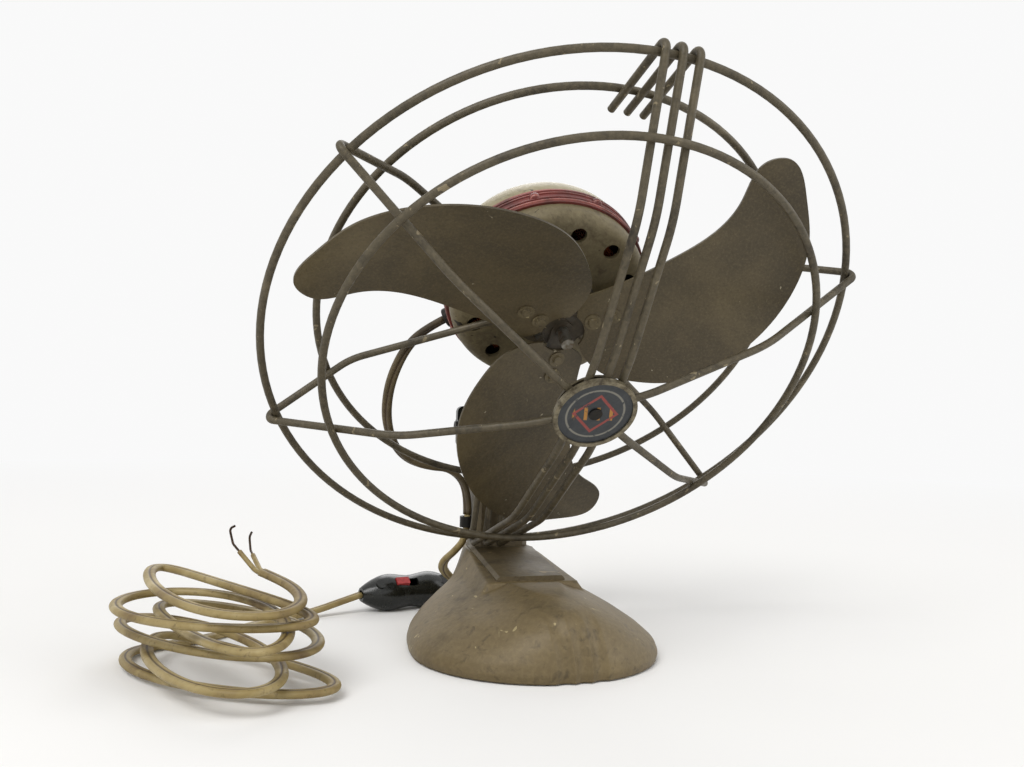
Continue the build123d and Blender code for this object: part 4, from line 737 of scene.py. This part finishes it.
def line_of(name, route, resolution=8):
    """Points of the smooth NURBS line, of order 3, that has the route as its control points."""
    curve = bpy.data.curves.new(name + "_line", "CURVE")
    curve.dimensions = "3D"
    spline = curve.splines.new("NURBS")
    spline.points.add(len(route) - 1)
    spline.points.foreach_set("co", np.insert(np.asarray(route, float), 3, 1.0, axis=1).ravel())
    spline.order_u = 3
    spline.use_endpoint_u = True
    spline.resolution_u = resolution
    holder = bpy.data.objects.new(name + "_line", curve)
    scene.collection.objects.link(holder)
    bpy.context.view_layer.update()
    evaluated = holder.evaluated_get(bpy.context.evaluated_depsgraph_get())
    mesh = bpy.data.meshes.new_from_object(evaluated)
    points = np.zeros(len(mesh.vertices) * 3)
    mesh.vertices.foreach_get("co", points)
    bpy.data.meshes.remove(mesh)
    bpy.data.objects.remove(holder)
    bpy.data.curves.remove(curve)
    points = points.reshape(-1, 3)
    kept = np.r_[True, np.linalg.norm(np.diff(points, axis=0), axis=1) > 1e-6]
    return points[kept]


def flex(name, route, side, skin):
    """Twin flex along the route's line. Its wide way lies level where the line does, and
    leans to the given side where the line stands up: wide = tangent x up + a share of side."""
    line = line_of(name, route)
    tangent = np.gradient(line, axis=0)
    tangent /= np.linalg.norm(tangent, axis=1)[:, None]
    wide = np.cross(tangent, (0.0, 0.0, 1.0)) + SIDE_SHARE * np.asarray(side)
    wide -= (wide * tangent).sum(axis=1)[:, None] * tangent
    wide /= np.linalg.norm(wide, axis=1)[:, None]
    thick = np.cross(wide, tangent)
    turn = np.arange(SECTION_POINTS) * 2 * np.pi / SECTION_POINTS
    reach = LOBE_OFFSET * np.abs(np.cos(turn)) + np.sqrt(
        LOBE_R**2 - (LOBE_OFFSET * np.sin(turn)) ** 2
    )
    across = (reach * np.cos(turn))[None, :, None] * wide[:, None, :]
    through = (reach * np.sin(turn))[None, :, None] * thick[:, None, :]
    mesh = tube_mesh(name, line[:, None, :] + across + through)
    groove = mesh.attributes.new("groove", "FLOAT", "POINT")
    depth = np.clip(1.0 - np.abs(reach * np.cos(turn)) / GROOVE_HALF, 0.0, 1.0)
    groove.data.foreach_set("value", np.tile(depth, len(line)).astype(np.float32))
    piece = bpy.data.objects.new(name, mesh)
    scene.collection.objects.link(piece)
    mesh.materials.append(skin)
    length = float(np.linalg.norm(np.diff(line, axis=0), axis=1).sum())
    return piece, line, length


def flex_rubber(name, dark, middle, light):
    """Rubber skin in three shades of soiling, darker in the groove between its cores."""
    material, tree = new_material(name)
    place = object_place(tree)
    soil = noise(tree, place, 17.0, 4.0, 0.65, 0.5)
    colour = ramp(tree, soil, (0.3, linear(dark)), (0.48, linear(middle)), (0.7, linear(light)))
    specks = noise(tree, place, 1.5, 3.0, 0.7)
    colour = mix(tree, ramp(tree, specks, (0.3, 0.5), (0.42, 0.0)), colour, linear("#4c3a1e"))
    slit = add(tree, "ShaderNodeAttribute", attribute_name="groove").outputs["Fac"]
    colour = mix(tree, ramp(tree, slit, (0.1, 0.0), (0.55, 0.85)), colour, linear("#3f2c14"))
    finish_material(tree, colour, ramp(tree, soil, (0.3, 0.6), (0.7, 0.42)), specks, 0.00012)
    return material


# natural rubber: tan and dull along the table, a darker brown on the lead above it
rubber = flex_rubber("tan_natural_rubber", "#6c5734", "#93804f", "#b3a172")
dark_lead_rubber = flex_rubber("browned_natural_rubber", "#33291a", "#4c4029", "#65573a")

# from the motor's gland down to the clip on the neck
LEAD_ROUTE = (
    (-0.0432, 0.0281, 0.1665),
    (-0.0527, 0.0328, 0.1610),
    (-0.0610, 0.0378, 0.1516),
    (-0.0662, 0.0435, 0.1390),
    (-0.0680, 0.0510, 0.1265),
    (-0.0670, 0.0585, 0.1135),
    (-0.0626, 0.0643, 0.1015),
    (-0.0545, 0.0678, 0.0918),
    (-0.0420, 0.0692, 0.0872),
    (-0.0275, 0.0692, 0.0863),
    (-0.0181, 0.0690, 0.0756),
    (-0.0181, 0.0690, 0.0610),
)
lead, line, length = flex("motor_flex", LEAD_ROUTE, (0.6, -1.0, 0.0), dark_lead_rubber)
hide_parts("motor_lead")
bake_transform(lead)

# from the clip down beside the foot, behind it on the table, and into the switch
SWITCH_ROUTE = (
    (-0.0181, 0.0690, 0.0610),
    (-0.0181, 0.0690, 0.0485),
    (-0.0230, 0.0760, 0.0395),
    (-0.0274, 0.0860, 0.0325),
    (-0.0250, 0.0970, 0.0250),
    (-0.0150, 0.1025, 0.0170),
    (-0.0020, 0.1024, 0.0086),
    (0.0125, 0.0985, 0.0034),
    (0.0275, 0.0945, 0.0019),
    (0.0430, 0.0942, 0.0019),
    (0.0570, 0.1015, 0.0020),
    (0.0630, 0.1160, 0.0019),
    (0.0578, 0.1306, 0.0020),
    (0.0440, 0.1378, 0.0019),
    (0.0288, 0.1354, 0.0025),
    (0.0142, 0.1302, 0.0050),
    (0.0006, 0.1256, 0.0088),
    (-0.0130, 0.1218, 0.01065),
)
to_switch, line, length = flex("switch_flex", SWITCH_ROUTE, (0.3, 1.0, 0.0), rubber)
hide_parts("flex_to_switch")
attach(to_switch, "stand")

# from the switch over the table into the hank, whose loose turns differ in size and fan out
HANK_TURNS = 5.75
HANK_STEPS = 18             # control points to a turn
HANK_AT = (-0.152, -0.018)
HANK_HALF = (0.058, 0.024)
HANK_RISE = 0.0065
HANK_FAN = 0.006
HANK_HEADING = 120.0
HANK_FLOOR = 0.0024
HANK_TIP = (-0.1323, -0.0006, 0.0433)   # where the skin ends and the cores part
SWITCH_TO_HANK = (
    (-0.0710, 0.1062, 0.01065),
    (-0.0830, 0.1028, 0.0076),
    (-0.0950, 0.0994, 0.0044),
    (-0.1070, 0.0954, 0.0023),
    (-0.1192, 0.0890, 0.0019),
    (-0.1300, 0.0796, 0.0019),
    (-0.1405, 0.0686, 0.0019),
    (-0.1505, 0.0568, 0.0019),
    (-0.1649, 0.0453, 0.0020),
)


def hank_route(turns):
    """Points on the hank after those numbers of turns: an oval whose length, width, heading
    and place sway from turn to turn, less near the ends, and which rises by HANK_RISE a turn."""
    free = np.clip(np.minimum(turns, HANK_TURNS - turns) / 0.9, 0.0, 1.0)
    half_l = HANK_HALF[0] + (0.004 + 0.003 * free) * np.sin(4.0 * turns + 0.4)
    half_w = HANK_HALF[1] + 0.0045 * np.sin(4.8 * turns + 1.0)
    heading = np.radians(HANK_HEADING + (9.0 + 6.0 * free) * np.sin(3.2 * turns))
    along = half_l * np.cos(2 * np.pi * turns)
    across = half_w * np.sin(2 * np.pi * turns)
    lift = HANK_FAN * (turns / HANK_TURNS) ** 1.5 * (1 + np.cos(2 * np.pi * turns)) / 2
    lift = lift + 0.002 * free * np.sin(1.3 * turns) * np.sin(2 * np.pi * turns + 0.8)
    sway = 0.003 + 0.002 * free
    x = HANK_AT[0] + sway * np.sin(2.6 * turns)
    y = HANK_AT[1] + sway * np.cos(2.2 * turns)
    x = x + along * np.cos(heading) - across * np.sin(heading)
    y = y + along * np.sin(heading) + across * np.cos(heading)
    return np.stack((x, y, HANK_FLOOR + HANK_RISE * turns + lift), axis=1)


turns = np.linspace(0.0, HANK_TURNS, int(HANK_TURNS * HANK_STEPS) + 1)
HANK_ROUTE = np.vstack((SWITCH_TO_HANK, hank_route(turns), HANK_TIP))
hank, line, length = flex("hank_flex", HANK_ROUTE, (0.0, 0.0, 0.0), rubber)
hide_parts("flex_to_hank", "flex_hank")
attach(hank, "stand")
dress(rubber, "flex_split_cores")

# tinned copper strands gone dark, bent over into hooks
strands, tree = new_material("dark_tinned_copper_strands")
place = object_place(tree)
twist = noise(tree, place, 0.7, 3.0, 0.6, 1.5)
finish_material(
    tree,
    ramp(tree, twist, (0.35, linear("#1e1813")), (0.65, linear("#4f3a29"))),
    ramp(tree, twist, (0.3, 0.55), (0.7, 0.35)),
    twist,
    0.0002,
    Metallic=0.7,
)
dress(strands, "flex_bare_conductors")

# ---- switch slide --------------------------------------------------------------------------
# A moulded red button that slides in a slot of the switch's black case.
button, tree = new_material("moulded_red_plastic")
place = object_place(tree)
scratch = noise(tree, place, 1.0, 4.0, 0.7, 1.0)
finish_material(
    tree,
    ramp(tree, scratch, (0.3, linear("#8e2a2a")), (0.6, linear("#c04444"))),
    ramp(tree, scratch, (0.3, 0.3), (0.7, 0.45)),
    scratch,
    0.00004,
)
dress(button, "switch_slide")

# ---- studio --------------------------------------------------------------------------------
# A pale table under a pale sky, a large soft lamp above and to the left, a weaker one to the
# right and one behind.
table_top = bpy.data.meshes.new("table_top")
TABLE_HALF = 6.0
table_top.from_pydata(
    [(x * TABLE_HALF, y * TABLE_HALF, 0.0) for x, y in ((-1, -1), (1, -1), (1, 1), (-1, 1))],
    [],
    [(0, 1, 2, 3)],
)
floor = bpy.data.objects.new("table_top", table_top)
scene.collection.objects.link(floor)
table_paint, tree = new_material("pale_table")
matt = add(tree, "ShaderNodeBsdfDiffuse", {"Color": linear("#f4f3f1"), "Roughness": 0.5})
glow = add(tree, "ShaderNodeEmission", {"Color": (1.0, 1.0, 1.0, 1.0), "Strength": 0.95})
away = add(tree, "ShaderNodeVectorMath", {0: object_place(tree)}, operation="LENGTH")
far = ramp(tree, maths(tree, "DIVIDE", away.outputs["Value"], 2.0), (0.16, 0.0), (0.75, 1.0))
fading = add(
    tree,
    "ShaderNodeMixShader",
    {0: far, 1: matt.outputs["BSDF"], 2: glow.outputs["Emission"]},
)
table_look = add(
    tree,
    "ShaderNodeMixShader",
    {
        0: add(tree, "ShaderNodeLightPath").outputs["Is Camera Ray"],
        1: matt.outputs["BSDF"],
        2: fading.outputs["Shader"],
    },
)
add(tree, "ShaderNodeOutputMaterial", {"Surface": table_look.outputs["Shader"]})
table_top.materials.append(table_paint)

world = bpy.data.worlds.new("studio")
world.use_nodes = True
sky = world.node_tree
sky.nodes.clear()
path = add(sky, "ShaderNodeLightPath")
seen = maths(sky, "MAXIMUM", path.outputs["Is Camera Ray"], path.outputs["Is Glossy Ray"])
dim = add(sky, "ShaderNodeBackground", {"Color": (1.0, 1.0, 1.0, 1.0), "Strength": 0.55})
bright = add(sky, "ShaderNodeBackground", {"Color": (1.0, 1.0, 1.0, 1.0), "Strength": 0.95})
blended = add(
    sky,
    "ShaderNodeMixShader",
    {0: seen, 1: dim.outputs["Background"], 2: bright.outputs["Background"]},
)
add(sky, "ShaderNodeOutputWorld", {"Surface": blended.outputs["Shader"]})
scene.world = world

for name, at, size, watts in (
    ("key_lamp", (-1.1, -1.3, 1.7), 1.2, 26.0),
    ("fill_lamp", (1.6, -1.0, 0.9), 1.6, 9.0),
    ("back_lamp", (0.5, 1.7, 1.5), 1.4, 14.0),
):
    lamp = bpy.data.lights.new(name, "AREA")
    lamp.size = size
    lamp.energy = watts
    holder = bpy.data.objects.new(name, lamp)
    holder.location = at
    aim = Vector((0.0, 0.0, 0.13)) - Vector(at)
    holder.rotation_euler = aim.to_track_quat("-Z", "Y").to_euler()
    scene.collection.objects.link(holder)
